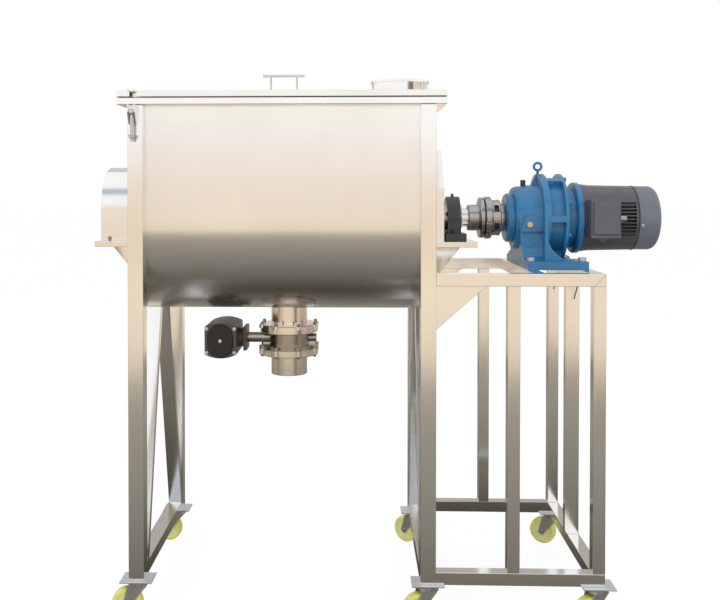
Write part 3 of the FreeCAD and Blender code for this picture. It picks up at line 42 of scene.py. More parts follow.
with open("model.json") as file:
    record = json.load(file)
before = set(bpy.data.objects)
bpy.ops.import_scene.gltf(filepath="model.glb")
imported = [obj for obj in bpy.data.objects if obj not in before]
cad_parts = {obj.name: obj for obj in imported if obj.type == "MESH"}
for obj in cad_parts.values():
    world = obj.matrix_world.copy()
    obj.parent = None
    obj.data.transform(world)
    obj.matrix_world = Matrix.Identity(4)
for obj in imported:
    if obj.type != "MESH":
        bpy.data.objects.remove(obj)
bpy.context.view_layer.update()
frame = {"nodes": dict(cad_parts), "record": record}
BODY_OF = {
    node: body
    for body, members in frame["record"]["behaviour"]["bodies"].items()
    for node in members
}
SLOT_OF = {part["node"]: part["material_slot"] for part in frame["record"]["subparts"]}
SHAFT_Z = (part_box("main_shaft")[0].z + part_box("main_shaft")[1].z) / 2
SHAFT_AXIS = (1, 0, 0)

# Facets of the frame nearer than this are one face, and points nearer than this one point.
FLAT_ANGLE, SAME_POINT = 0.8, 1e-5
INSERT_FIT = 0.994  # radial share of the bearing inserts that stays clear of the housings
BARREL_TOP = 0.9045  # below its upper flange the valve takes a darker copy of its steel, as painted shade
FLANGE_BANDS = (("upper", 0.8880, 0.9165), ("lower", 0.8070, 0.8315))
BAND_BORE, BAND_RADIUS, BAND_EDGE = 0.0960, 0.1035, 0.0020


# ---------------------------------------------------------------- user settings
def colour_setting(name, description, default):
    return bpy.props.FloatVectorProperty(
        name=name, description=description, default=default, subtype="COLOR", min=0, max=1
    )


def length_setting(name, description, default):
    return bpy.props.FloatProperty(
        name=name, description=description, default=default, subtype="DISTANCE", unit="LENGTH"
    )


class MixerColours(bpy.types.PropertyGroup):
    """Colours of the finishes, as linear values."""

    steel: colour_setting("Stainless", "Brushed sheet and tube", (0.945, 0.940, 0.930))
    polished: colour_setting("Polished", "Turned and polished stainless", (0.800, 0.780, 0.750))
    valve: colour_setting("Valve", "Turned pipe, spout and flanges", (0.920, 0.875, 0.810))
    # Painted shade: the barrel's colour is a darker copy of the valve steel.
    barrel: colour_setting("Valve body", "Barrel of the valve, darker as painted shade", (0.480, 0.440, 0.395))
    studs: colour_setting("Studs", "Oiled studs and nuts", (0.360, 0.320, 0.280))
    zinc: colour_setting("Zinc", "Plated bolts, casters and forks", (0.760, 0.775, 0.800))
    machined: colour_setting("Machined", "Bare turned steel", (0.440, 0.420, 0.405))
    blue: colour_setting("Reducer", "Enamel of the reducer", (0.013, 0.135, 0.290))
    grey: colour_setting("Motor", "Enamel of the motor", (0.050, 0.051, 0.059))
    cover: colour_setting("Fan cover", "Enamel of the fan cover", (0.098, 0.108, 0.132))
    terminal: colour_setting("Terminal box", "Enamel of the terminal box", (0.070, 0.075, 0.092))
    iron: colour_setting("Bearing", "Paint of the pillow blocks", (0.034, 0.040, 0.038))
    body: colour_setting("Actuator", "Anodised body of the actuator", (0.060, 0.046, 0.036))
    cap: colour_setting("End cap", "Moulded cap of the actuator", (0.012, 0.010, 0.009))
    tread: colour_setting("Tread", "Polyurethane of the wheels", (0.580, 0.560, 0.130))
    hub: colour_setting("Hub", "Moulded wheel centre", (0.560, 0.550, 0.240))
    rubber: colour_setting("Gasket", "Rubber of the lid gasket", (0.030, 0.030, 0.030))
    brass: colour_setting("Brass", "Ring of the sight glass", (0.720, 0.560, 0.300))


class MixerSizes(bpy.types.PropertyGroup):
    """Sizes of the edges and small parts."""

    fold: length_setting("Fold", "Edge radius of folded sheet", 0.0022)
    tube: length_setting("Tube", "Corner radius of square tube", 0.0035)
    casting: length_setting("Casting", "Edge radius of castings", 0.0030)
    machining: length_setting("Chamfer", "Edge break of turned pieces", 0.0010)


# ---------------------------------------------------------------- modelling helpers
def deselect():
    if bpy.context.object and bpy.context.object.mode != "OBJECT":
        bpy.ops.object.mode_set(mode="OBJECT")
    bpy.ops.object.select_all(action="DESELECT")


def activate(piece):
    deselect()
    piece.select_set(True)
    bpy.context.view_layer.objects.active = piece
    return piece


def apply_modifier(piece, kind, **values):
    activate(piece)
    modifier = piece.modifiers.new(kind.title(), kind)
    for key, value in values.items():
        setattr(modifier, key, value)
    bpy.ops.object.modifier_apply(modifier=modifier.name)


def smooth(piece, angle=35):
    activate(piece)
    bpy.ops.object.shade_smooth_by_angle(angle=math.radians(angle))


def coloured(piece, *materials):
    piece.data.materials.clear()
    for material in materials:
        piece.data.materials.append(material)
    return piece


def finish_piece(piece, body, slot, *nodes):
    """Ride a finished piece on its body, and let it stand for the given nodes."""
    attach(piece, body)
    if nodes:
        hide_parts(*nodes)
    return piece


def copy_of(node, name):
    """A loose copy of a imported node, merged into closed faces."""
    source = frame["nodes"][node]
    piece = source.copy()
    piece.data = source.data.copy()
    piece.name = name
    piece.parent = None
    for key in list(piece.keys()):
        del piece[key]
    bpy.context.scene.collection.objects.link(piece)
    piece.hide_render = piece.hide_viewport = False
    activate(piece)
    bpy.ops.object.mode_set(mode="EDIT")
    bpy.ops.mesh.select_all(action="SELECT")
    bpy.ops.mesh.remove_doubles(threshold=SAME_POINT)
    bpy.ops.mesh.dissolve_limited(angle_limit=math.radians(FLAT_ANGLE))
    bpy.ops.object.mode_set(mode="OBJECT")
    return piece


def dress(node, material, edge, angle=35, segments=2):
    """Stand a copy with rounded edges in a node's place."""
    piece = copy_of(node, node + "_dressed")
    smooth(piece, angle)
    if edge > 0:
        apply_modifier(
            piece, "BEVEL", width=edge, segments=segments, limit_method="ANGLE",
            angle_limit=math.radians(angle), use_clamp_overlap=True, harden_normals=True,
        )
    coloured(piece, material)
    return finish_piece(piece, BODY_OF[node], SLOT_OF[node], node)


def paint(piece, material, where):
    """Give another finish to the faces whose middle passes a test."""
    piece.data.materials.append(material)
    index = len(piece.data.materials) - 1
    for face in piece.data.polygons:
        if where(face.center):
            face.material_index = index
    return piece


def settle(piece, place, axis, turn=0.0):
    """Turn a piece made along Z onto an axis, and keep its place in its mesh."""
    activate(piece)
    onto = Vector(axis).to_track_quat("Z", "Y").to_matrix().to_4x4()
    piece.matrix_world = Matrix.Translation(place) @ onto @ Matrix.Rotation(turn, 4, "Z")
    bpy.ops.object.transform_apply(location=True, rotation=True, scale=True)
    return piece


def join(pieces, name):
    activate(pieces[0])
    for piece in pieces[1:]:
        piece.select_set(True)
    if len(pieces) > 1:
        bpy.ops.object.join()
    piece = bpy.context.object
    piece.name = name
    return piece


def turned(name, outline, place, axis, sides=64, angle=30, hollow=False):
    """Turn a solid, or a hollow ring, from its outline of (distance along the axis, radius)."""
    deselect()
    start, radius = outline[0]
    bpy.ops.mesh.primitive_circle_add(vertices=sides, radius=radius)
    piece = bpy.context.object
    piece.name = name
    bpy.ops.object.mode_set(mode="EDIT")
    bpy.ops.mesh.select_all(action="SELECT")
    for (at, old), (to, new) in zip(outline, outline[1:]):
        bpy.ops.mesh.extrude_edges_move(TRANSFORM_OT_translate={"value": (0, 0, to - at)})
        if new != old:
            share = new / old
            bpy.ops.transform.resize(
                value=(share, share, 1), center_override=(0, 0, to - start)
            )
    if hollow:
        bpy.ops.mesh.select_all(action="DESELECT")
        bpy.ops.mesh.select_non_manifold(
            extend=False, use_wire=False, use_multi_face=False, use_non_contiguous=False,
            use_verts=False,
        )
        bpy.ops.mesh.bridge_edge_loops()
    else:
        bpy.ops.mesh.select_all(action="SELECT")
        bpy.ops.mesh.fill_holes(sides=0)
    bpy.ops.mesh.select_all(action="SELECT")
    bpy.ops.mesh.normals_make_consistent(inside=False)
    bpy.ops.object.mode_set(mode="OBJECT")
    settle(piece, Vector(place) + Vector(axis) * start, axis)
    smooth(piece, angle)
    return piece


def screw_head(across, height, sides=6):
    """One screw head with a washer under it, standing on Z."""
    washer = turned(
        "washer",
        ((0, across * 0.72), (height * 0.18, across * 0.72), (height * 0.2, across * 0.5)),
        (0, 0, 0), (0, 0, 1), 20,
    )
    bpy.ops.mesh.primitive_cylinder_add(
        vertices=sides, radius=across / 2 / math.cos(math.pi / sides), depth=height,
        location=(0, 0, height * 0.6),
    )
    head = bpy.context.object
    bpy.ops.object.transform_apply(location=True)
    bpy.ops.object.mode_set(mode="EDIT")
    bpy.ops.mesh.select_all(action="SELECT")
    bpy.ops.mesh.bevel(offset=across * 0.06, segments=2, affect="EDGES")
    bpy.ops.object.mode_set(mode="OBJECT")
    smooth(head, 40)
    return join([washer, head], "screw")


def screws(name, places, axis, across, height, material, body, slot, sides=6):
    """The same screw at several places, as one piece."""
    first = screw_head(across, height, sides)
    made = [first]
    for _ in places[1:]:
        twin = first.copy()
        twin.data = first.data.copy()
        bpy.context.scene.collection.objects.link(twin)
        made.append(twin)
    for number, (piece, place) in enumerate(zip(made, places)):
        settle(piece, place, axis, 0.35 * number)
    return finish_piece(coloured(join(made, name), material), body, slot)


def bead(name, start, end, width, material, body, slot):
    """A thin run of weld or a joint line between two points."""
    start, end = Vector(start), Vector(end)
    run = end - start
    piece = turned(
        name, ((0, width * 0.25), (width * 0.4, width * 0.5),
               (run.length - width * 0.4, width * 0.5), (run.length, width * 0.25)),
        start, run.normalized(), 10, 60,
    )
    return finish_piece(coloured(piece, material), body, slot)


# ---------------------------------------------------------------- finishes
class Finish:
    """A node material on a Principled shader, in object coordinates."""

    def __init__(self, name):
        self.material = bpy.data.materials.new(name)
        self.material.use_nodes = True
        self.tree = self.material.node_tree
        self.shader = self.tree.nodes["Principled BSDF"]
        self.place = self.node("ShaderNodeTexCoord").outputs["Object"]

    def node(self, kind, **values):
        made = self.tree.nodes.new(kind)
        for key, value in values.items():
            setattr(made, key, value)
        return made

    def link(self, source, target):
        self.tree.links.new(source, target)

    def noise(self, scale, stretch=(1, 1, 1), detail=4.0, roughness=0.55):
        mapping = self.node("ShaderNodeMapping")
        mapping.inputs["Scale"].default_value = stretch
        self.link(self.place, mapping.inputs["Vector"])
        noise = self.node("ShaderNodeTexNoise")
        noise.inputs["Scale"].default_value = scale
        noise.inputs["Detail"].default_value = detail
        noise.inputs["Roughness"].default_value = roughness
        self.link(mapping.outputs["Vector"], noise.inputs["Vector"])
        return noise.outputs["Fac"]

    def ramp(self, source, low, high, start=0.3, stop=0.7):
        """Map a 0 to 1 value onto a range of numbers."""
        made = self.node("ShaderNodeMapRange")
        made.inputs["From Min"].default_value = start
        made.inputs["From Max"].default_value = stop
        made.inputs["To Min"].default_value = low
        made.inputs["To Max"].default_value = high
        self.link(source, made.inputs["Value"])
        return made.outputs["Result"]

    def tones(self, source, dark, light, start=0.3, stop=0.7):
        mix = self.node("ShaderNodeMix", data_type="RGBA")
        mix.inputs["A"].default_value = (*dark, 1)
        mix.inputs["B"].default_value = (*light, 1)
        self.link(self.ramp(source, 0, 1, start, stop), mix.inputs["Factor"])
        return mix.outputs["Result"]

    def bump(self, source, strength, distance):
        made = self.node("ShaderNodeBump")
        made.inputs["Strength"].default_value = strength
        made.inputs["Distance"].default_value = distance
        self.link(source, made.inputs["Height"])
        self.link(made.outputs["Normal"], self.shader.inputs["Normal"])

    def put(self, name, value):
        if isinstance(value, (int, float)):
            self.shader.inputs[name].default_value = value
        else:
            self.link(value, self.shader.inputs[name])


def shade(colour, factor):
    return tuple(min(1.0, part * factor) for part in colour)


def brushed(name, colour, roughness, stretch, streak=0.05, grain=900):
    """Metal with fine streaks along one direction and slow clouds."""
    finish = Finish(name)
    streaks = finish.noise(grain, stretch, detail=3, roughness=0.7)
    clouds = finish.noise(3.0, detail=2)
    finish.put("Metallic", 1.0)
    finish.put("Base Color", finish.tones(clouds, shade(colour, 0.96), shade(colour, 1.03)))
    finish.put("Roughness", finish.ramp(streaks, roughness - streak, roughness + streak))
    finish.bump(streaks, 0.06, 0.00003)
    return finish.material


def enamel(name, colour, roughness, peel=0.35, grain=420, mottle=0.10, coat=0.5):
    """Paint over a casting, slightly uneven in tone and surface."""
    finish = Finish(name)
    clouds = finish.noise(14, detail=5)
    skin = finish.noise(grain, detail=2)
    dark, light = shade(colour, 1 - mottle), shade(colour, 1 + mottle)
    finish.put("Base Color", finish.tones(clouds, dark, light))
    finish.put("Roughness", finish.ramp(clouds, roughness - 0.05, roughness + 0.08))
    finish.put("Coat Weight", coat)
    finish.put("Coat Roughness", 0.14)
    finish.bump(skin, peel, 0.00025)
    return finish.material


def moulded(name, colour, roughness, grain=1500, strength=0.25):
    """Moulded plastic or rubber with a fine grain."""
    finish = Finish(name)
    skin = finish.noise(grain, detail=2)
    clouds = finish.noise(20, detail=3)
    finish.put("Base Color", finish.tones(clouds, shade(colour, 0.92), shade(colour, 1.06)))
    finish.put("Roughness", finish.ramp(clouds, roughness - 0.04, roughness + 0.06))
    finish.bump(skin, strength, 0.0001)
    return finish.material


FINISHES = {}


def make_finishes(colours):
    steel = tuple(colours.steel)
    along_x, along_z, across = (0.004, 1, 1), (1, 1, 0.004), (0.02, 0.02, 1)
    even = (1, 1, 1)
    FINISHES.update({
        "sheet": brushed("Brushed sheet", steel, 0.235, along_x, streak=0.04),
        "sheet_up": brushed("Brushed upright tube", steel, 0.15, along_z, streak=0.05),
        "tube": brushed("Brushed tube", steel, 0.15, along_x, streak=0.05),
        "lid": brushed("Lid sheet", steel, 0.24, along_x),
        "guard": brushed("Guard sheet", steel, 0.22, even, 0.03, 300),
        "polished": brushed("Polished steel", tuple(colours.polished), 0.16, across, 0.05, 500),
        "valve": brushed("Valve steel", tuple(colours.valve), 0.20, across, 0.05, 500),
        # A darker copy of the valve steel, as painted shade on the barrel.
        "barrel": brushed("Valve barrel shade", tuple(colours.barrel), 0.24, across, 0.06, 500),
        "studs": brushed("Oiled studs", tuple(colours.studs), 0.30, even, 0.06, 300),
        "machined": brushed("Machined steel", tuple(colours.machined), 0.20, even, 0.06, 260),
        "weld": brushed("Weld", shade(steel, 0.45), 0.40, even, 0.05, 400),
        "zinc": brushed("Zinc plate", tuple(colours.zinc), 0.45, even, 0.06, 300),
        "blue": enamel("Blue enamel", tuple(colours.blue), 0.36),
        "grey": enamel("Grey enamel", tuple(colours.grey), 0.42),
        "cover": enamel("Cover enamel", tuple(colours.cover), 0.38, peel=0.15),
        "terminal": enamel("Terminal enamel", tuple(colours.terminal), 0.40),
        "iron": enamel("Bearing paint", tuple(colours.iron), 0.50, peel=0.6, grain=260, coat=0.2),
        "body": enamel("Actuator shell", tuple(colours.body), 0.46, peel=0.2, coat=0.1),
        "cap": moulded("End cap plastic", tuple(colours.cap), 0.42),
        "tread": moulded("Tread polyurethane", tuple(colours.tread), 0.42),
        "hub": moulded("Wheel centre", tuple(colours.hub), 0.45),
        "rubber": moulded("Gasket rubber", tuple(colours.rubber), 0.7),
        "brass": brushed("Brass", tuple(colours.brass), 0.25, even, 0.05, 300),
    })


# ---------------------------------------------------------------- pieces
class MixerPiece:
    """Base of the operators: run() makes the piece with the user's settings."""

    bl_options = {"REGISTER"}

    def execute(self, context):
        deselect()
        self.run(context.scene.mixer_sizes)
        deselect()
        return {"FINISHED"}


class MIXER_OT_trough(MixerPiece, bpy.types.Operator):
    """Trough shell, end plates, rim and gasket"""

    bl_idname = "mixer.trough"
    bl_label = "Trough"

    def run(self, sizes):
        dress("trough_shell", FINISHES["sheet"], 0.0)
        dress("end_plates", FINISHES["sheet_up"], 0.0)
        dress("trough_rim", FINISHES["tube"], sizes.fold)
        dress("lid_gasket", FINISHES["rubber"], 0.0)
        dress("hinge_brackets", FINISHES["polished"], sizes.machining)
        dress("clamp_lug", FINISHES["polished"], sizes.machining)
        self.swing_bolt()

    @staticmethod
    def swing_bolt():
        """Eye, shank and nut, long enough for the nut to seat on the lid's fork."""
        low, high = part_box("swing_bolt")
        eye = high.z - low.z - 0.105
        pin = Vector(((low.x + high.x) / 2, (low.y + high.y) / 2, high.z - eye))
        ring = turned(
            "eye", ((-0.006, 0.0052), (-0.006, eye - 0.001), (-0.005, eye), (0.005, eye),
                    (0.006, eye - 0.001), (0.006, 0.0052)), pin, (1, 0, 0), 40, hollow=True,
        )
        shank = turned(
            "shank", ((eye * 0.6, 0.0050), (0.060, 0.0050), (0.0605, 0.0047), (0.091, 0.0047),
                      (0.092, 0.0040)), pin, (0, 0, -1), 24,
        )
        nut = screw_head(0.017, 0.010)
        settle(nut, pin + Vector((0, 0, -0.071)), (0, 0, -1))
        bolt = join([ring, shank, nut], "swing_bolt_turned")
        coloured(bolt, FINISHES["zinc"])
        finish_piece(bolt, "clamp", SLOT_OF["swing_bolt"], "swing_bolt")


class MIXER_OT_lid(MixerPiece, bpy.types.Operator):
    """Lid sheet, feed collar, handle and fork"""

    bl_idname = "mixer.lid"
    bl_label = "Lid"

    def run(self, sizes):
        dress("lid_panel", FINISHES["lid"], sizes.fold, segments=3)
        dress("feed_collar", FINISHES["tube"], sizes.machining)
        dress("lid_handle", FINISHES["polished"], sizes.machining)
        dress("lid_fittings", FINISHES["polished"], sizes.machining)


class MIXER_OT_frames(MixerPiece, bpy.types.Operator):
    """Legs, end frames, drive frame, gussets and shelves"""

    bl_idname = "mixer.frames"
    bl_label = "Legs and frames"

    def run(self, sizes):
        for node in ("trough_legs", "drive_posts", "end_frames"):
            dress(node, FINISHES["sheet_up"], sizes.tube, segments=3)
        dress("drive_rails", FINISHES["tube"], sizes.tube, segments=3)
        dress("frame_gussets", FINISHES["tube"], sizes.machining)
        dress("bearing_shelves", FINISHES["tube"], sizes.machining)
        low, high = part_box("drive_rails")
        for number, side in enumerate((low.y, high.y)):
            bead(
                "mitre_%d" % number, (high.x - 0.001, side, high.z - 0.001),
                (high.x - 0.039, side, high.z - 0.039), 0.0012, FINISHES["weld"],
                "frame", "stainless",
            )


class MIXER_OT_covers(MixerPiece, bpy.types.Operator):
    """Guard over the left bearing and cover of the right seal"""

    bl_idname = "mixer.covers"
    bl_label = "Covers"

    def run(self, sizes):
        for node in ("bearing_guard", "seal_cover"):
            dress(node, FINISHES["guard"], sizes.machining)
        low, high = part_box("bearing_guard")
        foot = low.z + 0.008
        screws(
            "guard_foot_screws",
            [Vector((x, low.y, foot)) for x in (low.x + 0.030, high.x - 0.030)],
            (0, -1, 0), 0.010, 0.005, FINISHES["studs"], "frame", "zinc_steel",
        )


class MIXER_OT_shaft_line(MixerPiece, bpy.types.Operator):
    """Shaft, seals, bearings, ribbons and coupling"""

    bl_idname = "mixer.shaft_line"
    bl_label = "Shaft line"

    def run(self, sizes):
        dress("shaft_seals", FINISHES["polished"], sizes.machining)
        dress("bearing_housings", FINISHES["iron"], sizes.casting, segments=3)
        inserts = dress("bearing_inserts", FINISHES["machined"], 0.0)
        activate(inserts)
        bpy.ops.object.mode_set(mode="EDIT")
        bpy.ops.mesh.select_all(action="SELECT")
        bpy.ops.transform.resize(
            value=(1, INSERT_FIT, INSERT_FIT), center_override=(0, 0, SHAFT_Z)
        )
        bpy.ops.object.mode_set(mode="OBJECT")
        dress("main_shaft", FINISHES["polished"], sizes.machining)
        dress("output_shaft", FINISHES["machined"], 0.0)
        dress("outer_ribbons", FINISHES["polished"], 0.0)
        dress("inner_ribbons", FINISHES["polished"], 0.0)
        dress("ribbon_arms", FINISHES["polished"], 0.0)
        for name, outline in (
            ("coupling_driven", (
                (0.313, 0.033), (0.313, 0.043), (0.316, 0.046), (0.351, 0.046), (0.353, 0.048),
                (0.353, 0.069), (0.356, 0.072), (0.3665, 0.072), (0.3685, 0.070), (0.3685, 0.028),
            )),
            ("coupling_driver", (
                (0.3705, 0.028), (0.3705, 0.069), (0.3725, 0.073), (0.376, 0.075), (0.389, 0.075),
                (0.393, 0.0738), (0.395, 0.071), (0.3955, 0.066), (0.397, 0.064), (0.401, 0.064),
                (0.418, 0.064), (0.423, 0.064), (0.426, 0.061), (0.426, 0.050), (0.439, 0.049),
                (0.439, 0.028),
            )),
        ):
            piece = turned(name + "_turned", outline, (0, 0, SHAFT_Z), SHAFT_AXIS, 72)
            coloured(piece, FINISHES["machined"])
            if name == "coupling_driver":
                self.pin_windows(piece)
            finish_piece(piece, "agitator", SLOT_OF[name], name)

    @staticmethod
    def pin_windows(piece):
        """Sink a window over each pin of the coupling's hub."""
        activate(piece)
        bpy.ops.object.mode_set(mode="EDIT")
        bpy.ops.mesh.select_all(action="DESELECT")
        bpy.ops.object.mode_set(mode="OBJECT")
        for face in piece.data.polygons:
            x, y, z = face.center
            angle = math.degrees(math.atan2(z - SHAFT_Z, y)) % 60
            face.select = 0.402 < x < 0.417 and 15 < angle < 42
        bpy.ops.object.mode_set(mode="EDIT")
        bpy.ops.mesh.extrude_region_shrink_fatten(
            TRANSFORM_OT_shrink_fatten={"value": -0.012}
        )
        bpy.ops.object.mode_set(mode="OBJECT")
        smooth(piece, 30)
        # The windows' floors and walls take the dark bearing paint: partly the dark sleeves of the
        # pins under them, partly painted shade in the sunk windows.
        paint(piece, FINISHES["iron"], lambda at: (
            0.400 < at.x < 0.419 and math.hypot(at.y, at.z - SHAFT_Z) < 0.0625
        ))


class MIXER_OT_reducer(MixerPiece, bpy.types.Operator):
    """Reducer castings and fittings"""

    bl_idname = "mixer.reducer"
    bl_label = "Reducer"

    def run(self, sizes):
        blue = FINISHES["blue"]
        dress("reducer_seal", blue, sizes.machining)
        dress("reducer_housing", blue, sizes.casting, angle=30, segments=3)
        dress("reducer_ring_case", blue, sizes.casting, angle=30, segments=3)
        dress("reducer_input_flange", blue, sizes.casting, angle=30)
        dress("lifting_eye", blue, 0.0)
        fittings = dress("oil_fittings", FINISHES["brass"], sizes.machining)
        paint(fittings, FINISHES["iron"], lambda at: at.z > SHAFT_Z + 0.06)
        paint(fittings, blue, lambda at: at.z < SHAFT_Z - 0.06)
        bolts = dress("machine_bolts", FINISHES["zinc"], sizes.machining)
        paint(bolts, FINISHES["iron"], lambda at: at.x < 0.30)
        paint(bolts, blue, lambda at: at.z > SHAFT_Z - 0.12 and at.x > 0.30)


class MIXER_OT_motor(MixerPiece, bpy.types.Operator):
    """Motor case, terminal box, fan cover and fan"""

    bl_idname = "mixer.motor"
    bl_label = "Motor"

    def run(self, sizes):
        case = dress("motor_case", FINISHES["grey"], sizes.machining)
        # Painted shade: the end of the case next to the fan cover takes the dark rubber finish.
        paint(case, FINISHES["rubber"], lambda at: (
            0.80 < at.x < 0.884 and math.hypot(at.y, at.z - SHAFT_Z) < 0.110
        ))
        box = dress("terminal_box", FINISHES["terminal"], sizes.casting, segments=3)
        paint(box, FINISHES["machined"], lambda at: at.x > 0.8095)
        # Painted shade: a dark ring in the gap between the case and the fan cover.
        ring = turned(
            "cover_gap_shade",
            ((0.8852, 0.105), (0.8852, 0.1132), (0.8858, 0.1138), (0.8882, 0.1138),
             (0.8888, 0.1132), (0.8888, 0.105)),
            (0, 0, SHAFT_Z), SHAFT_AXIS, 96, hollow=True,
        )
        finish_piece(coloured(ring, FINISHES["rubber"]), "frame", "gasket_rubber")
        radius = (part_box("fan_cover")[1].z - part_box("fan_cover")[0].z) / 2
        around = [math.radians(a) for a in (-12, 78, 168, 258)]
        for number, turn in enumerate(around):
            out = Vector((0, -math.cos(turn), math.sin(turn)))
            screws(
                "cover_screw_%d" % number, [Vector((0.898, 0, SHAFT_Z)) + out * radius], out,
                0.009, 0.003, FINISHES["zinc"], "frame", "zinc_steel", 16,
            )
        dress("fan_cover", FINISHES["cover"], 0.0)
        dress("motor_fan", FINISHES["cap"], 0.0)


class MIXER_OT_outlet(MixerPiece, bpy.types.Operator):
    """Outlet pipe, butterfly valve and actuator"""

    bl_idname = "mixer.outlet"
    bl_label = "Outlet and valve"

    def run(self, sizes):
        for node in ("outlet_pipe", "valve_spout", "valve_disc"):
            dress(node, FINISHES["valve"], sizes.machining)
        self.valve_body(sizes)
        dress("valve_bolts", FINISHES["studs"], sizes.machining)
        dress("actuator_body", FINISHES["body"], sizes.casting, segments=3)
        caps = dress("actuator_caps", FINISHES["body"], sizes.casting, segments=3)
        low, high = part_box("actuator_caps")
        paint(caps, FINISHES["cap"], lambda at: abs(at.y) > high.y - 0.0075)
        middle_x, middle_z = (low.x + high.x) / 2, (low.z + high.z) / 2
        for side, name in ((-1, "front"), (1, "rear")):
            out = (0, side, 0)
            screws(
                "cap_screws_" + name,
                [Vector((middle_x + x, side * (high.y - 0.0085), middle_z + z))
                 for x in (-0.049, 0.049) for z in (-0.042, 0.042)],
                out, 0.009, 0.004, FINISHES["zinc"], "frame", "zinc_steel", 16,
            )
            screws(
                "cap_stud_" + name, [Vector((middle_x, side * (high.y - 0.004), middle_z))],
                out, 0.013, 0.004, FINISHES["zinc"], "frame", "zinc_steel", 16,
            )


    @staticmethod
    def valve_body(sizes):
        """Barrel darkened as painted shade, and stem plate, with a turned band around each pair of
        flanges.
        """
        body = dress("valve_body", FINISHES["valve"], sizes.machining)
        low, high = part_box("outlet_pipe")
        middle = Vector(((low.x + high.x) / 2, (low.y + high.y) / 2, 0))
        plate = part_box("valve_body")[0].x + 0.012
        # Painted shade: below its upper flange the valve body takes the darker copy of its steel.
        paint(body, FINISHES["barrel"], lambda at: at.z < BARREL_TOP)
        paint(body, FINISHES["body"], lambda at: at.x < plate)
        for name, foot, top in FLANGE_BANDS:
            outline = (
                (foot, BAND_BORE), (foot, BAND_RADIUS - BAND_EDGE), (foot + BAND_EDGE, BAND_RADIUS),
                (top - BAND_EDGE, BAND_RADIUS), (top, BAND_RADIUS - BAND_EDGE), (top, BAND_BORE),
            )
            band = turned("flange_band_" + name, outline, middle, (0, 0, 1), 96, hollow=True)
            finish_piece(coloured(band, FINISHES["valve"]), "frame", SLOT_OF["valve_body"])


class MIXER_OT_casters(MixerPiece, bpy.types.Operator):
    """Caster plates, forks and wheels"""

    bl_idname = "mixer.casters"
    bl_label = "Casters"

    def run(self, sizes):
        dress("caster_plates", FINISHES["zinc"], sizes.machining)
        for node in sorted(BODY_OF):
            if node.startswith("fork_"):
                dress(node, FINISHES["zinc"], sizes.machining)
        for joint in frame["record"]["behaviour"]["joints"]:
            if joint["name"].startswith("wheel_"):
                self.wheel(joint["name"].removesuffix("_roll"), joint)

    @staticmethod
    def wheel(node, joint):
        """Rounded tread on a dished centre, with a plated bush around the axle."""
        parts = []
        for part, finish, half in (
            ("tyre", "tread", ((0.0130, 0.0345), (0.0150, 0.0352), (0.0160, 0.0372),
                               (0.0160, 0.0440), (0.0148, 0.0474), (0.0118, 0.0494),
                               (0.0060, 0.0500))),
            ("centre", "hub", ((0.0150, 0.0108), (0.0150, 0.0155), (0.0135, 0.0190),
                               (0.0135, 0.0300), (0.0140, 0.0348))),
            ("bush", "zinc", ((0.0180, 0.0056), (0.0180, 0.0100), (0.0172, 0.0110))),
        ):
            outline = [(-at, radius) for at, radius in half] + list(reversed(half))
            ring = turned(part, outline, joint["pos_m"], joint["axis"], 72, 40, hollow=True)
            parts.append(coloured(ring, FINISHES[finish]))
        finish_piece(join(parts, node + "_turned"), BODY_OF[node], SLOT_OF[node], node)


# ---------------------------------------------------------------- stage
# Painted reflection: a glowing floor and wall that only the gloss of the object sees.
# Distance from under the object on the floor, and height on the wall, in metres, against
# the tone that bare steel shows there; the darkest floor tones, next to the object, are its
# painted shadow.
HALL_FLOOR = (
    (0.0, (60, 57, 49)), (0.15, (75, 71, 62)), (0.45, (96, 92, 81)), (0.70, (110, 106, 96)),
    (1.2, (126, 122, 112)), (2.1, (140, 136, 124)), (2.9, (147, 142, 130)),
    (3.8, (152, 145, 133)), (4.2, (172, 158, 141)), (4.5, (212, 195, 172)),
    (4.8, (233, 216, 192)), (8.0, (236, 219, 196)), (16.0, (231, 212, 188)),
)
HALL_WALL = (
    (0.0, (228, 207, 181)), (1.1, (229, 209, 184)), (1.45, (234, 213, 192)),
    (1.8, (241, 229, 218)), (2.1, (248, 244, 240)), (2.7, (252, 252, 251)),
)
HALL_RADIUS, HALL_HEIGHT = 14.0, 2.7
STEEL_SHARE = 0.93  # of the light that falls on it, bare steel gives this much back
# Painted reflection: the glow of a dim loft behind the object, and the tone of roof beams above it.
LOFT_TONE = (0.37, 0.35, 0.305, 1)
BEAM_TONE = (0.50, 0.55, 0.63, 1)

# Lamp name, place, aim, width, height and watts.
LAMPS = (
    ("Key", (-2.2, -3.2, 3.6), (0, 0, 1.1), 2.4, 1.6, 90),
    ("Fill", (3.0, -2.6, 2.2), (0.4, 0, 1.1), 2.0, 2.0, 30),
    ("Back", (0.5, 3.4, 3.0), (0, 0, 1.2), 3.0, 1.5, 45),
)
CAMERA_PLACE = (-0.0866, -3.1389, 1.3861)
CAMERA_DOWN, CAMERA_LEFT = 0.0157, 0.0316  # radians
CAMERA_LENS, CAMERA_SENSOR = 43.85, 36
CAMERA_SHIFT = (0.0456, -0.1308)


def linear(value):
    value = value / 255
    return value / 12.92 if value <= 0.04045 else ((value + 0.055) / 1.055) ** 2.4


def seen_rays(tree):
    """1 for the rays that look at the stage: camera, glossy and transmission."""
    path = tree.nodes.new("ShaderNodeLightPath")
    total = path.outputs["Is Camera Ray"]
    for name in ("Is Glossy Ray", "Is Transmission Ray"):
        add = tree.nodes.new("ShaderNodeMath")
        add.operation = "ADD"
        add.use_clamp = True
        tree.links.new(total, add.inputs[0])
        tree.links.new(path.outputs[name], add.inputs[1])
        total = add.outputs["Value"]
    return total


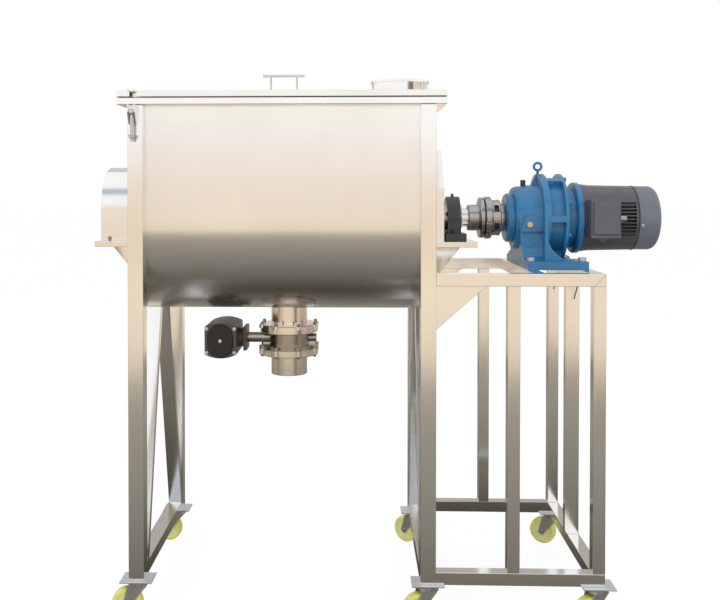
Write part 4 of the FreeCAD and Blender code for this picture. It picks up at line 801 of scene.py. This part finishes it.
def make_world():
    """White to whatever looks at it, and a plain soft light on the object."""
    world = bpy.data.worlds.new("White room")
    bpy.context.scene.world = world
    world.use_nodes = True
    tree = world.node_tree
    tree.nodes.clear()
    soft = tree.nodes.new("ShaderNodeBackground")
    soft.inputs["Color"].default_value = (0.95, 0.975, 1.0, 1)
    white = tree.nodes.new("ShaderNodeBackground")
    white.inputs["Color"].default_value = (1, 1, 1, 1)
    mix = tree.nodes.new("ShaderNodeMixShader")
    out = tree.nodes.new("ShaderNodeOutputWorld")
    for source, target in (
        (seen_rays(tree), mix.inputs["Fac"]),
        (soft.outputs["Background"], mix.inputs[1]),
        (white.outputs["Background"], mix.inputs[2]),
        (mix.outputs["Shader"], out.inputs["Surface"]),
    ):
        tree.links.new(source, target)


def floor_material():
    """White to whatever looks at it, with the soft shadow of the object kept."""
    material = bpy.data.materials.new("Studio floor")
    material.use_nodes = True
    tree = material.node_tree
    tree.nodes.clear()
    matt = tree.nodes.new("ShaderNodeBsdfDiffuse")
    matt.inputs["Color"].default_value = (0.8, 0.8, 0.8, 1)
    glow = tree.nodes.new("ShaderNodeEmission")
    glow.inputs["Strength"].default_value = 1.03
    share = tree.nodes.new("ShaderNodeMath")
    share.operation = "MULTIPLY"
    share.inputs[1].default_value = 0.86
    mix = tree.nodes.new("ShaderNodeMixShader")
    out = tree.nodes.new("ShaderNodeOutputMaterial")
    for source, target in (
        (seen_rays(tree), share.inputs[0]),
        (share.outputs["Value"], mix.inputs["Fac"]),
        (matt.outputs["BSDF"], mix.inputs[1]),
        (glow.outputs["Emission"], mix.inputs[2]),
        (mix.outputs["Shader"], out.inputs["Surface"]),
    ):
        tree.links.new(source, target)
    return material


def hall_material(name, stops, reach, on_wall):
    """Painted reflection: glow of the hall by distance on its floor or by height on its wall."""
    finish = Finish(name)
    tree = finish.tree

    def sums(operation, value, *more):
        made = finish.node("ShaderNodeMath", operation=operation)
        finish.link(value, made.inputs[0])
        for place, part in enumerate(more, 1):
            made.inputs[place].default_value = part
        return made.outputs["Value"]

    split = finish.node("ShaderNodeSeparateXYZ")
    finish.link(finish.place, split.inputs["Vector"])
    if on_wall:
        measure = split.outputs["Z"]
    else:
        # On the floor, distance from a line under the object, so the glow darkens next to it as
        # painted shadow.
        past_end = sums("SUBTRACT", sums("ABSOLUTE", split.outputs["X"]), 0.75)
        flat = finish.node("ShaderNodeCombineXYZ")
        finish.link(sums("MAXIMUM", past_end, 0.0), flat.inputs["X"])
        finish.link(split.outputs["Y"], flat.inputs["Y"])
        away = finish.node("ShaderNodeVectorMath", operation="LENGTH")
        finish.link(flat.outputs["Vector"], away.inputs[0])
        measure = away.outputs["Value"]
    ramp = finish.node("ShaderNodeValToRGB")
    elements = ramp.color_ramp.elements
    elements.remove(elements[1])
    for index, (at, tone) in enumerate(stops):
        stop = elements[0] if index == 0 else elements.new(at / reach)
        stop.position = at / reach
        stop.color = (*(linear(part) / STEEL_SHARE for part in tone), 1)
    finish.link(finish.ramp(measure, 0, 1, 0, reach), ramp.inputs["Fac"])
    level = finish.node("ShaderNodeVectorMath", operation="MULTIPLY")
    level.inputs[1].default_value = (1, 1, 0)
    finish.link(finish.place, level.inputs[0])
    toward = finish.node("ShaderNodeVectorMath", operation="NORMALIZE")
    finish.link(level.outputs["Vector"], toward.inputs[0])
    # Painted streaks in the reflection, away from the front, and on the floor only from 2.5 m out.
    noise = finish.node("ShaderNodeTexNoise")
    noise.inputs["Scale"].default_value = 6.0
    noise.inputs["Detail"].default_value = 3
    finish.link(toward.outputs["Vector"], noise.inputs["Vector"])
    clouds = finish.ramp(noise.outputs["Fac"], 0.22, 1.12, 0.38, 0.60)
    turn = finish.node("ShaderNodeSeparateXYZ")
    finish.link(toward.outputs["Vector"], turn.inputs["Vector"])
    front = finish.ramp(turn.outputs["Y"], 0, 1, -0.94, -0.82)
    if not on_wall:
        far = finish.node("ShaderNodeMath", operation="MULTIPLY")
        finish.link(front, far.inputs[0])
        finish.link(finish.ramp(measure, 0, 1, 2.5, 4.0), far.inputs[1])
        front = far.outputs["Value"]
    calm = finish.node("ShaderNodeMix", data_type="FLOAT")
    calm.inputs["A"].default_value = 1.0
    finish.link(front, calm.inputs["Factor"])
    finish.link(clouds, calm.inputs["B"])
    glow = finish.node("ShaderNodeEmission")
    finish.link(ramp.outputs["Color"], glow.inputs["Color"])
    finish.link(calm.outputs["Result"], glow.inputs["Strength"])
    tree.nodes.remove(finish.shader)
    finish.link(glow.outputs["Emission"], tree.nodes["Material Output"].inputs["Surface"])
    finish.material.cycles.emission_sampling = "NONE"
    return finish.material


def reflected_only(piece, material):
    """Stage that only the gloss of the object sees."""
    coloured(piece, material)
    piece.visible_camera = piece.visible_diffuse = piece.visible_shadow = False


def make_hall():
    # Painted reflection: a glowing floor, wall and loft, and roof beams, seen only in the gloss of
    # the object.
    bpy.ops.mesh.primitive_circle_add(
        vertices=96, radius=HALL_RADIUS + 2, fill_type="NGON", location=(0, 0, -0.02)
    )
    bpy.context.object.name = "hall_floor"
    reflected_only(
        bpy.context.object, hall_material("Hall floor", HALL_FLOOR, HALL_RADIUS + 2, False)
    )
    bpy.ops.mesh.primitive_cylinder_add(
        vertices=96, radius=HALL_RADIUS, depth=HALL_HEIGHT, end_fill_type="NOTHING",
        location=(0, 0, HALL_HEIGHT / 2),
    )
    wall = bpy.context.object
    wall.name = "hall_wall"
    bpy.ops.object.transform_apply(location=True)
    reflected_only(wall, hall_material("Hall wall", HALL_WALL, HALL_HEIGHT, True))
    bpy.ops.mesh.primitive_plane_add(
        size=1, location=(0, 13.0, 5.8), rotation=(math.pi / 2, 0, 0)
    )
    loft = bpy.context.object
    loft.name = "hall_loft"
    loft.scale = (26, 4.6, 1)
    bpy.ops.object.transform_apply(location=False, scale=True)
    dim = bpy.data.materials.new("Hall loft")
    dim.use_nodes = True
    shader = dim.node_tree.nodes["Principled BSDF"]
    shader.inputs["Base Color"].default_value = (0, 0, 0, 1)
    shader.inputs["Emission Color"].default_value = LOFT_TONE
    shader.inputs["Emission Strength"].default_value = 1.0
    dim.cycles.emission_sampling = "NONE"
    reflected_only(loft, dim)
    for number, side in enumerate((-1, 1)):
        bpy.ops.mesh.primitive_plane_add(size=1, location=(0, side * 4.2, 5.4))
        beam = bpy.context.object
        beam.name = "roof_beam_%d" % number
        beam.scale = (24, 2.6, 1)
        bpy.ops.object.transform_apply(location=False, scale=True)
        shade_of = bpy.data.materials.new("Roof beam %d" % number)
        shade_of.use_nodes = True
        shader = shade_of.node_tree.nodes["Principled BSDF"]
        shader.inputs["Base Color"].default_value = BEAM_TONE
        reflected_only(beam, shade_of)


def lamp(name, place, aim, width, height, watts):
    bpy.ops.object.light_add(type="AREA", location=place)
    made = bpy.context.object
    made.name = name
    made.data.shape = "RECTANGLE"
    made.data.size, made.data.size_y = width, height
    made.data.energy = watts
    made.rotation_euler = (Vector(aim) - Vector(place)).to_track_quat("-Z", "Y").to_euler()
    made.visible_glossy = False
    return made


class MIXER_OT_stage(MixerPiece, bpy.types.Operator):
    """Floor, room, lamps and camera"""

    bl_idname = "mixer.stage"
    bl_label = "Stage"

    def run(self, sizes):
        make_world()
        make_hall()
        bpy.ops.mesh.primitive_plane_add(size=120, location=(0, 40, 0))
        floor = bpy.context.object
        floor.name = "studio_floor"
        coloured(floor, floor_material())
        floor.visible_glossy = False
        for settings in LAMPS:
            lamp(*settings)
        bpy.ops.object.camera_add(location=CAMERA_PLACE)
        camera = bpy.context.object
        camera.rotation_euler = (math.pi / 2 - CAMERA_DOWN, 0, CAMERA_LEFT)
        camera.data.sensor_width = CAMERA_SENSOR
        camera.data.lens = CAMERA_LENS
        camera.data.shift_x, camera.data.shift_y = CAMERA_SHIFT
        camera.data.clip_end = 200
        scene = bpy.context.scene
        scene.camera = camera
        scene.view_settings.view_transform = "Standard"


# ---------------------------------------------------------------- add-on
OPERATORS = (
    MIXER_OT_trough,
    MIXER_OT_lid,
    MIXER_OT_frames,
    MIXER_OT_covers,
    MIXER_OT_shaft_line,
    MIXER_OT_reducer,
    MIXER_OT_motor,
    MIXER_OT_outlet,
    MIXER_OT_casters,
    MIXER_OT_stage,
)


class MIXER_PT_panel(bpy.types.Panel):
    """Lists the pieces and the settings of the ribbon blender"""

    bl_idname = "MIXER_PT_panel"
    bl_label = "Ribbon blender"
    bl_space_type = "VIEW_3D"
    bl_region_type = "UI"
    bl_category = "Blender"

    def draw(self, context):
        for operator in OPERATORS:
            self.layout.operator(operator.bl_idname)
        for group in (context.scene.mixer_colours, context.scene.mixer_sizes):
            for name in group.__annotations__:
                self.layout.prop(group, name)


CLASSES = (MixerColours, MixerSizes, *OPERATORS, MIXER_PT_panel)


def register():
    for one in CLASSES:
        bpy.utils.register_class(one)
    bpy.types.Scene.mixer_colours = bpy.props.PointerProperty(type=MixerColours)
    bpy.types.Scene.mixer_sizes = bpy.props.PointerProperty(type=MixerSizes)


def unregister():
    del bpy.types.Scene.mixer_sizes
    del bpy.types.Scene.mixer_colours
    for one in reversed(CLASSES):
        bpy.utils.unregister_class(one)


def main():
    register()
    make_finishes(bpy.context.scene.mixer_colours)
    for operator in OPERATORS:
        group, name = operator.bl_idname.split(".")
        getattr(getattr(bpy.ops, group), name)()


if __name__ == "__main__":
    main()
